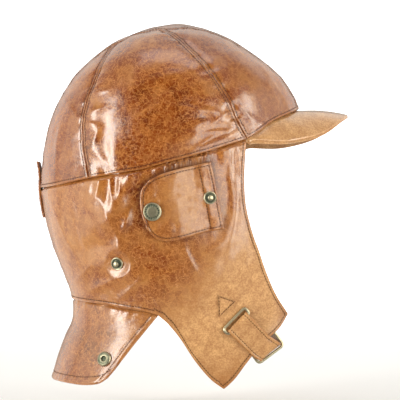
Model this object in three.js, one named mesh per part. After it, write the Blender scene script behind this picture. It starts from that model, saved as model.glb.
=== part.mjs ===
// Leather motoring helmet with a peak, ear covers, a neck flap and a fastened chin strap.
// Millimetres. +X is the face, +Z is up, and the wearer's right side is at -Y.
// The origin is on the inside of the crown at its top, where the helmet sits on the head.

import * as THREE from 'three';
import { mergeVertices } from 'three/addons/utils/BufferGeometryUtils.js';

// Leather
const WALL = 2;                // crown, side panels and neck flap
const COVER_WALL = 2.2;        // ear covers, turned over at the edge
const PATCH_WALL = 1.1;        // sewn-on triangles
const TAB_WALL = 1.8;          // goggle strap tab
const STRAP_WIDTH = 22;
const STRAP_WALL = 1.4;
const PEAK_WALL = 3.2;         // two leathers over a stiff board

// Clearances
const SEAM_INSET = 0.3;        // each panel stops this far from the line of a seam
const LAY_GAP = 0.35;          // between pieces that lie on each other

// Hardware
const WIRE = 2.4;
const RING_UPPER = { long: 27.8, wide: 8.4, corner: 2.2 };
const RING_LOWER = { long: 28.6, wide: 19.5, corner: 3, shift: 1.9 };
const WIRE_SIDES = 8;
const LATHE_SIDES = 14;

// Snap fastener profiles as pairs of radius and height
const CAP_RADIUS = 7.5;
const CAP_PROFILE = [
  [0, 0], [6.6, 0], [CAP_RADIUS, 0.5], [CAP_RADIUS, 1.3], [6.7, 1.9], [6.1, 1.7], [0, 2.1],
];
const STUD_RADIUS = 5.3;
const STUD_PROFILE = [
  [0, 0], [4.7, 0], [STUD_RADIUS, 0.5], [4.7, 1.1], [2.7, 0.9], [2, 1.4], [2.3, 2.9], [1.5, 3.7], [0, 3.8],
];
const SOCKET_RADIUS = 6.3;
const SOCKET_PROFILE = [
  [0, 0], [5.7, 0], [SOCKET_RADIUS, 0.7], [5.5, 1.9], [4.2, 2.2], [2.4, 1.9], [2.1, 0.6], [0, 0.6],
];

// Roundness of the horizontal sections: 2 would be an ellipse
const ROUND = 2.15;

// The ray that seats a point on the form starts here in the crown, and level with the point below it
const HEART = { x: -8, z: -115 };

const table = (columns, rows) => rows.map(
  (row) => Object.fromEntries(columns.split(' ').map((name, i) => [name, row[i]])),
);

// Outer sections of the head form. The front below the brow is where the section would close.
const HEAD_ROWS = table('z back front half mid', [
  [2, 0, 0, 0, 0],
  [-2, -21, 20.5, 19, 0],
  [-5, -31, 29, 29, -1],
  [-9, -42, 39, 38.5, -3],
  [-16, -57.5, 51.5, 50, -5],
  [-30, -76, 71.5, 65, -7],
  [-44, -90, 88, 74.5, -8],
  [-58, -99, 98.5, 80.5, -9],
  [-72, -107, 104.5, 84.5, -10],
  [-90, -113, 107, 87.5, -12],
  [-115, -117.5, 107, 89.5, -14],
  [-141, -119.3, 107, 89.5, -14],
  [-165, -116, 107, 88, -12],
  [-190, -109, 109, 85.5, -9],
  [-212, -101, 112, 82.5, -5],
  [-237, -92.5, 116, 78.5, 0],
  [-265, -89, 118, 73.5, 3],
  [-290, -87, 118, 68, 4],
  [-316, -85, 116, 62, 4],
]);

// Outer sections of the neck flap, which hangs straight and then flares
const NECK_ROWS = table('z back front half mid', [
  [-225, -96.5, 114, 80.5, -2],
  [-237, -92.5, 112, 78.5, 0],
  [-248, -91.3, 100, 77.5, -3],
  [-258, -92.5, 90, 78, -6],
  [-270, -98, 80, 80.5, -10],
  [-288, -105, 70, 85, -13],
  [-306, -110, 62, 90, -14],
  [-320, -114, 56, 94, -14],
]);

// Main folds and dents in side view: centre, direction of the crest from +X, half length,
// half width, height (a dent is negative)
const FOLD_ROWS = table('x z turn long wide high', [
  [-48, -152, 62, 26, 7, 2.6],
  [-62, -168, 118, 22, 7, 2.2],
  [-86, -165, 80, 30, 10, -2],
  [-66, -192, 20, 30, 10, -1.8],
  [-30, -214, 155, 32, 9, 1.8],
  [2, -205, 12, 34, 9, -1.6],
  [48, -150, 84, 26, 5, 1.8],
  [40, -190, 70, 30, 9, 1.8],
  [62, -222, 62, 26, 8, -1.4],
  [24, -262, 48, 34, 10, 1.6],
  [6, -104, 20, 28, 7, 1.8],
  [-58, -112, 96, 24, 6, -1.6],
  [-92, -104, 82, 26, 9, 1.6],
  [30, -72, 122, 26, 8, 1.4],
  [-24, -66, 30, 34, 14, -1.4],
]);

// Gathers under the seam between crown and side panels: place along X, height of the pucker
const GATHER_ROWS = table('x high', [
  [-84, 1.1], [-73, -0.8], [-62, 1.3], [-50, -0.9], [-38, 1], [-24, -0.8],
  [4, 0.9], [13, -0.8], [22, 1], [31, -0.8], [40, 0.9],
]);
const GATHER_WIDTH = 5;
const GATHER_DEPTH = 14;

// Folds fade out this near to the centre plane
const FOLD_FADE = 30;

// Height by which the crown's panels swell between their seams
const SWELL = { side: 1.6, front: 1.2, back: 1.2 };

// Places where something is sewn down and the leather lies smooth
const SMOOTH_ROWS = table('x z radius', [
  [5, -154, 40], [38, -238, 17], [60, -262, 26], [82, -258, 16],
  [-49.3, -204.5, 10], [-60, -284, 14],
]);

// Heights of the seams and the hem at the centre back
const BACK = { band: -141.4, neckSeam: -237.2, hem: -305.5 };

// Lines on the form in side view, as pairs of x and z
const REAR_SEAM = [
  [-51.2, -16.8], [-59.2, -26.2], [-64.4, -37.4], [-70.9, -56.6],
  [-75.3, -70.2], [-77.5, -85.4], [-77.7, -102.2], [-75.8, -118.9], [-72, -133.8],
];
const FRONT_SEAM = [
  [-15.2, -6.3], [-3, -13.4], [6.4, -21.9], [21.5, -38.5], [35.6, -58], [43.3, -71.5],
  [48.8, -84.7], [58, -101.2],
];
const BAND_REAR = [[-118.3, BACK.band], [-107.7, -140.2], [-92, -137.4], [-72, -133.8]];
const BAND_FRONT = [
  [-72, -133.8], [-48.4, -129.8], [-28.6, -126.6], [-8.9, -121.3], [7.5, -117.1],
  [24.4, -112.4], [42.1, -106.6], [58, -101.2],
];
const BROW = [[58, -101.2], [67.3, -95.6], [76.7, -88], [84.6, -83.6], [91.7, -80.2], [102, -74.6]];
const FACE_EDGE = [
  [58, -101.2], [56.7, -118.9], [56, -137], [57.1, -156.1], [59.7, -167.8],
  [63.9, -181.9], [69, -195.4], [78.6, -222.5], [84.7, -234.6], [93.3, -247.9],
];
const CHIN_EDGE = [
  [93.3, -247.9], [86.2, -259.3], [71.7, -272.3], [57.5, -289.4], [47.5, -302.7], [39.1, -310.6],
];
const TAB_REAR = [
  [39.1, -310.6], [28.2, -302.3], [16.5, -288.5], [3.2, -268.1], [-7.5, -254.7], [-15.8, -247.6],
];
const NECK_SEAM = [
  [-15.8, -247.6], [-26.6, -244.8], [-39.1, -243], [-54.9, -240.5], [-72.1, -238.6], [-90, BACK.neckSeam],
];
const NECK_FRONT = [[-15.8, -247.6], [-22, -255], [-33.5, -268.5], [-45, -283], [-52, -292], [-58, -299]];
const NECK_HEM = [[-58, -299], [-65, -303.4], [-76, BACK.hem], [-98, BACK.hem]];

// The line between the centre strip and the panels beside it, front to back, seated on the form
const STRIP_FRONT = [
  [102.4, -20, -74.2], [98, -21, -56], [86, -22, -40], [66, -23.5, -24], [40, -25, -11],
  [12, -27, -5], [-15.2, -29, -6.3],
];
const STRIP_TOP = [[-15.2, -29, -6.3], [-33, -29, -9], [-51.2, -28, -16.8]];
const STRIP_REAR = [
  [-51.2, -28, -16.8], [-78, -26, -38], [-98, -24, -62], [-112, -22, -92], [-117, -21, -116],
  [-118.3, -20, BACK.band],
];

// Ear cover: it is sewn down along its straight front edge, and its round end snaps shut behind
const COVER_FRONT = [[27.6, -120.5], [38.3, -175.7]];
const COVER_TOP = [[-22, -135.6], [-13.8, -131.3], [0.1, -126.9], [16.5, -123], [27.6, -120.5]];
const COVER_REAR = [[-22, -135.6], [-28, -142.8], [-29.4, -150.4], [-28.1, -163.2], [-23.7, -175.8]];
const COVER_BOTTOM = [
  [-23.7, -175.8], [-16.5, -183], [-8.3, -185.2], [5.5, -183], [22, -178.7], [38.3, -175.7],
];
const COVER_STAND_OFF = 1.8;
const COVER_FREE = 0.625;      // share of its length, from the round end, that stands off
const CAP_SHARE = 0.18;        // place of the snap cap on that length

const TRIANGLE = { top: [33.5, -230.6], front: [48.5, -235.9], low: [34.3, -249], blunt: [1.2, 1] };

const GOGGLE_TAB = { top: -119, bottom: -167, halfWidth: 11, standOff: 3.4, freeShare: 0.33 };

// Snap fasteners in side view
const SNAPS = {
  cap: [-19.6, -161],
  studFront: [26.4, -150],
  studBack: [-49.3, -204.5],
  socket: [-60, -284],
};

// Peak: its outer edge from the right temple to the tip, and how far its face rises between
const PEAK_EDGE = [
  [63.5, -70.6, -102.6], [91, -65, -102.8], [121, -47, -95.6], [141, -24, -82.4], [148, 0, -77.9],
];
const PEAK_RISE = 2;

// The chin strap crosses the lower edge of each flap here and runs up it in this direction
const STRAP_CROSSING = { x: 69.8, z: -274.2 };
const STRAP_SLOPE = { x: 0.695, z: -0.719 };

// Past the edge the strap folds on a line that leans by this many degrees, with the lower ring
const FOLD_LEAN = -11;
const FOLD_DRIFT = 0.22;       // and drifts towards the face by this share of its length

// Distances along the strap from that edge, up the flap negative
const RING_UPPER_BARS = { high: -36, low: -30 };
const STRAP_TAIL = -12;
const STRAP_TAIL_RUN = [STRAP_TAIL, -18, -24];
const STRAP_SEWN_RUN = [-4, -11, -18, -25, -32];

// The strap's upper layer: distance from the edge and height of its middle, and past the edge
// how far its outer face has turned away from the flap's
const STRAP_OVER_ROWS = table('along lift', [
  [-26, 4.9], [-21, 3.9], [-16, 3.2], [STRAP_TAIL, 2.9], [-8, 2.3], [-4, 1.5], [0, 1.2],
]);
const STRAP_BEND_ROWS = table('along lift turn', [
  [4, 1, 0], [7.4, 0.5, 30], [9.6, -1.5, 65], [10.3, -5, 85],
]);

// The lower ring hangs behind the flap's edge and tips outward round the strap. A tab inside the
// flap holds it: distances along the flap of its sewn part, and how far its end comes back up.
const RING_LOWER_BARS = { inside: { along: -3, lift: -6.6 }, outside: { along: 13.1, lift: -0.6 } };
const RING_TAB_RUN = { sewn: [-22, -17, -12], back: [5, 10] };

const LEATHER_TAN = { color: 0xc27a45, roughness: 0.42, metalness: 0 };
const LEATHER_DARK = { color: 0xa9602f, roughness: 0.38, metalness: 0 };
const LEATHER_PALE = { color: 0xcb8c55, roughness: 0.48, metalness: 0 };
const BRASS = { color: 0x8f8258, roughness: 0.36, metalness: 0.9 };

// A form is a stack of rounded sections. Between the rows every column runs in a smooth cubic.
class Form {
  constructor(rows) {
    this.rows = rows;
    this.slopes = rows.map((row, i) => {
      const before = rows[Math.max(i - 1, 0)];
      const after = rows[Math.min(i + 1, rows.length - 1)];
      const steps = i > 0 && i < rows.length - 1 ? 2 : 1;
      return Object.fromEntries(Object.keys(row).map((key) => [key, (after[key] - before[key]) / steps]));
    });
    if (rows[0].half === 0) this.slopes[0].z = 0;
  }

  value(key, i, f) {
    const a = this.rows[i][key];
    const b = this.rows[i + 1][key];
    const span = f * f * (3 - 2 * f);
    const leave = f * (1 - f) ** 2;
    const arrive = f * f * (f - 1);
    return a + (b - a) * span + this.slopes[i][key] * leave + this.slopes[i + 1][key] * arrive;
  }

  section(z) {
    const { rows } = this;
    if (z >= rows[0].z) return null;
    let i = 0;
    while (i < rows.length - 2 && z < rows[i + 1].z) i += 1;
    let low = 0;
    let high = 1;
    for (let n = 0; n < 30; n += 1) {
      const middle = (low + high) / 2;
      if (this.value('z', i, middle) > z) low = middle;
      else high = middle;
    }
    const at = (key) => this.value(key, i, low);
    return { back: at('back'), front: at('front'), half: at('half'), mid: at('mid') };
  }

  // Below 1 inside the form, 1 on its surface
  reach(point) {
    const s = this.section(point.z);
    if (!s || s.half < 1e-6) return Infinity;
    const length = point.x > s.mid ? s.front - s.mid : s.mid - s.back;
    return (Math.abs(point.x - s.mid) / length) ** ROUND + (Math.abs(point.y) / s.half) ** ROUND;
  }

  seat(point) {
    const heart = new THREE.Vector3(HEART.x, 0, Math.min(point.z, HEART.z));
    const ray = point.clone().sub(heart);
    let low = 0;
    let high = 3;
    for (let n = 0; n < 40; n += 1) {
      const middle = (low + high) / 2;
      if (this.reach(heart.clone().addScaledVector(ray, middle)) < 1) low = middle;
      else high = middle;
    }
    return heart.addScaledVector(ray, low);
  }

  // The point of the right side that side view shows at x and z
  side(x, z) {
    const s = this.section(z);
    const length = x > s.mid ? s.front - s.mid : s.mid - s.back;
    const rest = Math.max(0, 1 - (Math.abs(x - s.mid) / length) ** ROUND);
    return new THREE.Vector3(x, -s.half * rest ** (1 / ROUND), z);
  }

  normal(point) {
    const out = point.clone().sub(new THREE.Vector3(HEART.x, 0, Math.min(point.z, HEART.z))).normalize();
    const across = new THREE.Vector3(-out.y, out.x, 0);
    if (across.length() < 1e-3) across.set(0, 1, 0);
    across.normalize();
    const up = out.clone().cross(across);
    const near = (axis, step) => this.seat(point.clone().addScaledVector(axis, step));
    const along = near(across, 1).sub(near(across, -1));
    const rise = near(up, 1).sub(near(up, -1));
    const normal = along.cross(rise).normalize();
    return normal.dot(out) < 0 ? normal.negate() : normal;
  }
}

const HEAD = new Form(HEAD_ROWS);
const NECK = new Form(NECK_ROWS);

// Height of the folds over the form, the same on both sides
function relief(point) {
  let height = 0;
  for (const fold of FOLD_ROWS) {
    const turn = THREE.MathUtils.degToRad(fold.turn);
    const dx = point.x - fold.x;
    const dz = point.z - fold.z;
    const along = (dx * Math.cos(turn) + dz * Math.sin(turn)) / fold.long;
    const across = (dz * Math.cos(turn) - dx * Math.sin(turn)) / fold.wide;
    height += fold.high * Math.exp(-along * along - across * across);
  }
  const below = (bandHeight(point.x) - point.z) / GATHER_DEPTH;
  if (below > 0) {
    for (const gather of GATHER_ROWS) {
      const across = (point.x - gather.x) / GATHER_WIDTH;
      height += gather.high * Math.min(1, below * 4) * Math.exp(-across * across - below * below);
    }
  }
  for (const spot of SMOOTH_ROWS) {
    const distance = Math.hypot(point.x - spot.x, point.z - spot.z) / spot.radius;
    height *= 1 - Math.exp(-(distance ** 6));
  }
  return height * Math.min(1, Math.abs(point.y) / FOLD_FADE);
}

function bandHeight(x) {
  const line = [...BAND_REAR, ...BAND_FRONT];
  for (let i = 1; i < line.length; i += 1) {
    const [x0, z0] = line[i - 1];
    const [x1, z1] = line[i];
    if (x <= x1 && x1 > x0) return z0 + (z1 - z0) * Math.max(0, (x - x0) / (x1 - x0));
  }
  return line.at(-1)[1];
}

// A point of the leather's surface, lifted off it along its normal
function lay(form, point, lift) {
  return point.clone().addScaledVector(form.normal(point), lift + relief(point));
}

const seated = (triples) => triples.map((p) => HEAD.seat(new THREE.Vector3(...p)));
const onSide = (form, pairs) => pairs.map(([x, z]) => form.side(x, z));
const mirrored = (points) => points.map((p) => new THREE.Vector3(p.x, -p.y, p.z)).reverse();
const reversed = (points) => [...points].reverse();

// Evenly spaced points along one or more legs, each a smooth line; [points, steps] pairs
function trace(...legs) {
  const points = [];
  for (const [line, steps] of legs) {
    const curve = new THREE.CatmullRomCurve3(line, false, 'centripetal');
    const spaced = curve.getSpacedPoints(steps);
    points.push(...(points.length ? spaced.slice(1) : spaced));
  }
  return points;
}

// Fills a four-sided outline with a grid of points: columns from top to bottom
function fill({ top, bottom, left, right }) {
  const across = top.length - 1;
  const down = left.length - 1;
  const grid = [];
  for (let i = 0; i <= across; i += 1) {
    const s = i / across;
    const column = [];
    for (let j = 0; j <= down; j += 1) {
      const t = j / down;
      const point = new THREE.Vector3()
        .addScaledVector(top[i], 1 - t)
        .addScaledVector(bottom[i], t)
        .addScaledVector(left[j], 1 - s)
        .addScaledVector(right[j], s)
        .addScaledVector(top[0], -(1 - s) * (1 - t))
        .addScaledVector(top[across], -s * (1 - t))
        .addScaledVector(bottom[0], -(1 - s) * t)
        .addScaledVector(bottom[across], -s * t);
      column.push(point);
    }
    grid.push(column);
  }
  return grid;
}

// The grid's border as a loop of [column, row]
function borderOf(grid) {
  const across = grid.length - 1;
  const down = grid[0].length - 1;
  const loop = [];
  for (let i = 0; i < across; i += 1) loop.push([i, 0]);
  for (let j = 0; j < down; j += 1) loop.push([across, j]);
  for (let i = across; i > 0; i -= 1) loop.push([i, down]);
  for (let j = down; j > 0; j -= 1) loop.push([0, j]);
  return loop;
}

// Draws the border in along the surface, with true corners
function inset(grid, normalAt, distance) {
  const loop = borderOf(grid);
  const centre = grid[Math.floor(grid.length / 2)][Math.floor(grid[0].length / 2)];
  const at = ([i, j]) => grid[i][j];
  const inward = loop.map((place, k) => {
    const a = at(place);
    const b = at(loop[(k + 1) % loop.length]);
    return b.clone().sub(a).cross(normalAt(a)).normalize();
  });
  const sum = loop.reduce((total, place, k) => total + inward[k].dot(centre.clone().sub(at(place))), 0);
  const sign = Math.sign(sum);
  const moved = loop.map((place, k) => {
    const before = inward[(k + loop.length - 1) % loop.length];
    const bisector = before.clone().add(inward[k]);
    const stretch = 1 + before.dot(inward[k]);
    return at(place).clone().addScaledVector(bisector, (sign * distance) / Math.max(stretch, 0.4));
  });
  loop.forEach(([i, j], k) => grid[i][j].copy(moved[k]));
}

// Closes two matching grids, an outer and an inner face, into one solid
function closeGrids(outer, inner) {
  const columns = outer.length;
  const rows = outer[0].length;
  const points = [...outer.flat(), ...inner.flat()];
  const offset = columns * rows;
  const index = [];
  const quad = (a, b, c, d) => {
    const flat = points[a].distanceToSquared(points[c]) <= points[b].distanceToSquared(points[d]);
    if (flat) index.push(a, b, c, a, c, d);
    else index.push(a, b, d, b, c, d);
  };
  const at = (i, j) => i * rows + j;
  for (let i = 0; i < columns - 1; i += 1) {
    for (let j = 0; j < rows - 1; j += 1) {
      quad(at(i, j), at(i, j + 1), at(i + 1, j + 1), at(i + 1, j));
      quad(offset + at(i, j), offset + at(i + 1, j), offset + at(i + 1, j + 1), offset + at(i, j + 1));
    }
  }
  const loop = borderOf(outer).map(([i, j]) => at(i, j));
  loop.forEach((a, k) => {
    const b = loop[(k + 1) % loop.length];
    quad(a, b, offset + b, offset + a);
  });
  return solid(points, index);
}

// A closed geometry whose faces point out
function solid(points, index) {
  let volume = 0;
  for (let k = 0; k < index.length; k += 3) {
    const [a, b, c] = [points[index[k]], points[index[k + 1]], points[index[k + 2]]];
    volume += a.dot(b.clone().cross(c));
  }
  const facing = volume < 0 ? reversed(index) : index;
  const geometry = new THREE.BufferGeometry();
  geometry.setAttribute('position', new THREE.Float32BufferAttribute(points.flatMap((p) => p.toArray()), 3));
  geometry.setIndex(facing);
  geometry.computeVertexNormals();
  return geometry;
}

// A leather piece that follows a form. lift(s, t) is the height of its outer face.
function plate(form, sides, { wall = WALL, lift = () => 0, edge = SEAM_INSET } = {}) {
  const grid = fill(sides).map((column) => column.map((point) => form.seat(point)));
  if (edge > 0) inset(grid, (point) => form.normal(point), edge);
  const across = grid.length - 1;
  const down = grid[0].length - 1;
  const face = (depth) => grid.map((column, i) => column.map((point, j) => (
    lay(form, point, lift(i / across, j / down) - depth)
  )));
  return closeGrids(face(0), face(wall));
}

// Swells between the seams and is drawn down at them
const puff = (height) => (s, t) => height * (1 - (2 * s - 1) ** 4) * (1 - (2 * t - 1) ** 4);

function piece(name, geometry, finish) {
  const mesh = new THREE.Mesh(geometry, new THREE.MeshStandardMaterial(finish));
  mesh.name = name;
  return mesh;
}

function crownSide() {
  return plate(HEAD, {
    top: trace([reversed(seated(STRIP_TOP)), 13]),
    bottom: trace([onSide(HEAD, BAND_FRONT), 13]),
    left: trace([onSide(HEAD, REAR_SEAM), 12]),
    right: trace([onSide(HEAD, FRONT_SEAM), 12]),
  }, { lift: puff(SWELL.side) });
}

// The front panel comes to a point where its rear seam meets the strip, so the first
// stretch of the strip's edge is its top side
function crownFront() {
  const stripEdge = trace([reversed(seated(STRIP_FRONT)), 15]);
  return plate(HEAD, {
    top: trace([stripEdge.slice(0, 5), 9]),
    bottom: trace([onSide(HEAD, BROW), 9]),
    left: trace([onSide(HEAD, FRONT_SEAM), 11]),
    right: trace([stripEdge.slice(4), 11]),
  }, { lift: puff(SWELL.front) });
}

function crownBack() {
  const stripEdge = trace([seated(STRIP_REAR), 15]);
  return plate(HEAD, {
    top: trace([stripEdge.slice(0, 5), 7]),
    bottom: trace([reversed(onSide(HEAD, BAND_REAR)), 7]),
    left: trace([onSide(HEAD, REAR_SEAM), 11]),
    right: trace([stripEdge.slice(4), 11]),
  }, { lift: puff(SWELL.back) });
}

function crownStrip() {
  const edge = trace([seated(STRIP_FRONT), 13], [seated(STRIP_TOP), 3], [seated(STRIP_REAR), 12]);
  const middle = (end) => HEAD.seat(new THREE.Vector3(end.x, 0, end.z));
  const acrossAt = (end) => trace([[end, middle(end), ...mirrored([end])], 4]);
  return plate(HEAD, {
    top: edge,
    bottom: reversed(mirrored(edge)),
    left: acrossAt(edge[0]),
    right: acrossAt(edge.at(-1)),
  });
}

// The form's centre back at a height
function centreBack(form, z) {
  return form.seat(new THREE.Vector3(form.section(z).back, 0, z));
}

function sidePanel() {
  const backSeam = [0, 0.25, 0.5, 0.75, 1].map((share) => (
    centreBack(HEAD, THREE.MathUtils.lerp(BACK.band, BACK.neckSeam, share))
  ));
  const neckSeam = reversed(onSide(HEAD, NECK_SEAM));
  return plate(HEAD, {
    top: trace([[backSeam[0], ...onSide(HEAD, BAND_REAR)], 6], [onSide(HEAD, BAND_FRONT), 16]),
    bottom: trace(
      [[backSeam.at(-1), ...neckSeam], 7],
      [reversed(onSide(HEAD, TAB_REAR)), 7],
      [reversed(onSide(HEAD, CHIN_EDGE)), 8],
    ),
    left: trace([backSeam, 13]),
    right: trace([onSide(HEAD, FACE_EDGE), 13]),
  });
}

function neckFlap() {
  const both = (line, z) => [...line, centreBack(NECK, z), ...mirrored(line)];
  const front = trace([onSide(NECK, NECK_FRONT), 6]);
  return plate(NECK, {
    top: trace([both(onSide(NECK, NECK_SEAM), BACK.neckSeam), 26]),
    bottom: trace([both(onSide(NECK, NECK_HEM), BACK.hem), 26]),
    left: front,
    right: reversed(mirrored(front)),
  });
}

// The peak springs from just under the brow seam, inside the crown's outer face
function peak() {
  const columns = 26;
  const browLine = onSide(HEAD, BROW.slice(1));
  const spring = trace([[...browLine, ...mirrored(browLine)], columns]);
  const halfEdge = PEAK_EDGE.map((p) => new THREE.Vector3(...p));
  const edge = trace([[...halfEdge, ...mirrored(halfEdge).slice(1)], columns]);
  const drop = new THREE.Vector3(0, 0, -SEAM_INSET - LAY_GAP);
  const inner = spring.map((point) => point.clone().addScaledVector(HEAD.normal(point), -WALL).add(drop));
  const rows = 5;
  const top = inner.map((from, i) => Array.from({ length: rows + 1 }, (_, j) => {
    const t = j / rows;
    const rise = PEAK_RISE * 4 * t * (1 - t) * Math.sin((Math.PI * i) / columns);
    return from.clone().lerp(edge[i], t).add(new THREE.Vector3(0, 0, rise));
  }));
  const under = top.map((column) => column.map((point) => point.clone().setZ(point.z - PEAK_WALL)));
  return closeGrids(top, under);
}

// Where the ear cover's outer face stands off the panel: flat at the hinge, free at the round end
const coverLift = (s) => LAY_GAP + COVER_WALL + COVER_STAND_OFF * Math.max(0, 1 - s / COVER_FREE) ** 1.5;

function earCover() {
  return plate(HEAD, {
    top: trace([onSide(HEAD, COVER_TOP), 10]),
    bottom: trace([onSide(HEAD, COVER_BOTTOM), 10]),
    left: trace([onSide(HEAD, COVER_REAR), 8]),
    right: trace([onSide(HEAD, COVER_FRONT), 8]),
  }, { wall: COVER_WALL, lift: coverLift, edge: 0 });
}

function trianglePatch() {
  const { top, front, low, blunt } = TRIANGLE;
  const line = (a, b) => trace([onSide(HEAD, [a, b]), 3]);
  const lowFront = [low[0] + blunt[0], low[1] + blunt[1]];
  return plate(HEAD, {
    top: line(top, front),
    bottom: line(low, lowFront),
    left: line(top, low),
    right: line(front, lowFront),
  }, { wall: PATCH_WALL, lift: () => LAY_GAP + PATCH_WALL, edge: 0 });
}

function goggleTab() {
  const { top, bottom, halfWidth, standOff, freeShare } = GOGGLE_TAB;
  const corner = (y, z) => HEAD.seat(new THREE.Vector3(HEAD.section(z).back, y, z));
  const line = (a, b, steps) => trace([[a, b], steps]);
  const lift = (s, t) => LAY_GAP + TAB_WALL + standOff * Math.max(0, 1 - t / freeShare) ** 2;
  return plate(HEAD, {
    top: line(corner(-halfWidth, top), corner(halfWidth, top), 4),
    bottom: line(corner(-halfWidth, bottom), corner(halfWidth, bottom), 4),
    left: line(corner(-halfWidth, top), corner(-halfWidth, bottom), 8),
    right: line(corner(halfWidth, top), corner(halfWidth, bottom), 8),
  }, { wall: TAB_WALL, lift, edge: 0 });
}

// A turned fastener part standing on a form; profile is pairs of radius and height
function snap(form, [x, z], base, profile) {
  const point = form.side(x, z);
  const geometry = new THREE.LatheGeometry(profile.map((p) => new THREE.Vector2(...p)), LATHE_SIDES);
  const turn = new THREE.Quaternion().setFromUnitVectors(new THREE.Vector3(0, 1, 0), form.normal(point));
  geometry.applyQuaternion(turn);
  geometry.translate(...lay(form, point, base + LAY_GAP).toArray());
  geometry.deleteAttribute('normal');
  geometry.deleteAttribute('uv');
  const merged = mergeVertices(geometry, 1e-4);
  const position = merged.getAttribute('position');
  const points = Array.from(
    { length: position.count },
    (_, i) => new THREE.Vector3().fromBufferAttribute(position, i),
  );
  const index = [];
  const corners = merged.getIndex().array;
  for (let k = 0; k < corners.length; k += 3) {
    const [a, b, c] = corners.slice(k, k + 3);
    if (a !== b && b !== c && c !== a) index.push(a, b, c);
  }
  return solid(points, index);
}

// A point on or under the right flap, along the strap's run and across it
const FLAP_EDGE = HEAD.side(STRAP_CROSSING.x, STRAP_CROSSING.z);
const FLAP_OUT = HEAD.normal(FLAP_EDGE);
const STRAP_RUN = new THREE.Vector3(
  STRAP_SLOPE.x,
  -(STRAP_SLOPE.x * FLAP_OUT.x + STRAP_SLOPE.z * FLAP_OUT.z) / FLAP_OUT.y,
  STRAP_SLOPE.z,
).normalize();

function onFlap(along, lift) {
  const x = STRAP_CROSSING.x + along * STRAP_RUN.x;
  const z = STRAP_CROSSING.z + along * STRAP_RUN.z;
  const point = HEAD.side(x, z);
  return { point: lay(HEAD, point, lift), out: HEAD.normal(point) };
}

// Past the edge the strap turns in towards the chin; distances in the edge's own frame
const FACEWARD = STRAP_RUN.clone().cross(FLAP_OUT).normalize();
if (FACEWARD.x < 0) FACEWARD.negate();
const DRIFTING_RUN = STRAP_RUN.clone().addScaledVector(FACEWARD, FOLD_DRIFT);
const LEANT_RUN = STRAP_RUN.clone().applyAxisAngle(FLAP_OUT, THREE.MathUtils.degToRad(FOLD_LEAN));

function pastEdge(along, lift, turn) {
  const angle = THREE.MathUtils.degToRad(turn);
  return {
    point: FLAP_EDGE.clone().addScaledVector(DRIFTING_RUN, along).addScaledVector(FLAP_OUT, lift),
    out: FLAP_OUT.clone().multiplyScalar(Math.cos(angle)).addScaledVector(LEANT_RUN, Math.sin(angle)),
  };
}

const STRAP_MID = LAY_GAP + STRAP_WALL / 2;
const TURN_RADIUS = WIRE / 2 + LAY_GAP + STRAP_WALL / 2;

// The strap's turn round a bar, seen from its end, as [along, lift, turn of the outer face]
function turnRoundBar(barAlong, steps = 6) {
  return Array.from({ length: steps + 1 }, (_, k) => {
    const angle = -Math.PI / 2 - (Math.PI * k) / steps;
    return {
      along: barAlong + TURN_RADIUS * Math.cos(angle),
      lift: STRAP_MID + TURN_RADIUS + TURN_RADIUS * Math.sin(angle),
      angle,
    };
  });
}

function strapStations() {
  const tail = STRAP_TAIL_RUN.map((along) => {
    const { point, out } = onFlap(along, STRAP_MID);
    return { point, out: out.clone().negate() };
  });
  const { point: ringFoot, out: ringOut } = onFlap(RING_UPPER_BARS.low, 0);
  const loop = turnRoundBar(RING_UPPER_BARS.low).map(({ along, lift, angle }) => ({
    point: ringFoot.clone()
      .addScaledVector(STRAP_RUN, along - RING_UPPER_BARS.low)
      .addScaledVector(ringOut, lift),
    out: STRAP_RUN.clone().multiplyScalar(Math.cos(angle)).addScaledVector(ringOut, Math.sin(angle)),
  }));
  const over = STRAP_OVER_ROWS.map(({ along, lift }) => onFlap(along, lift));
  const bend = STRAP_BEND_ROWS.map(({ along, lift, turn }) => pastEdge(along, lift, turn));
  const inner = bend.at(-1);
  const chinOut = new THREE.Vector3(STRAP_RUN.x, 0, STRAP_RUN.z).normalize();
  const chin = [0.45, 0].map((share) => ({
    point: new THREE.Vector3(inner.point.x, inner.point.y * share, inner.point.z - 2 * (1 - share)),
    out: chinOut,
  }));
  const flip = ({ point, out }) => ({
    point: new THREE.Vector3(point.x, -point.y, point.z),
    out: new THREE.Vector3(out.x, -out.y, out.z),
  });
  const leftRun = STRAP_SEWN_RUN.map((along) => onFlap(along, STRAP_MID));
  const left = [chin[0], ...reversed(bend), onFlap(0, STRAP_MID), ...leftRun].map(flip);
  return [...tail, ...loop, ...over, ...bend, ...chin, ...left];
}

// A flat band through stations, each a middle point and the direction its outer face looks
function band(stations, width, wall) {
  const centres = new THREE.CatmullRomCurve3(stations.map((s) => s.point), false, 'centripetal');
  const index = [];
  const points = [];
  const last = stations.length - 1;
  stations.forEach(({ point, out }, i) => {
    const ahead = centres.getTangent(i / last);
    const across = ahead.clone().cross(out).normalize();
    const face = across.clone().cross(ahead).normalize();
    for (const [side, height] of [[1, 1], [-1, 1], [-1, -1], [1, -1]]) {
      points.push(point.clone()
        .addScaledVector(across, (side * width) / 2)
        .addScaledVector(face, (height * wall) / 2));
    }
  });
  for (let i = 0; i < last; i += 1) {
    for (let k = 0; k < 4; k += 1) {
      const a = i * 4 + k;
      const b = i * 4 + ((k + 1) % 4);
      index.push(a, b, b + 4, a, b + 4, a + 4);
    }
  }
  index.push(0, 2, 1, 0, 3, 2);
  const end = last * 4;
  index.push(end, end + 1, end + 2, end, end + 2, end + 3);
  return solid(points, index);
}

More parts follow.
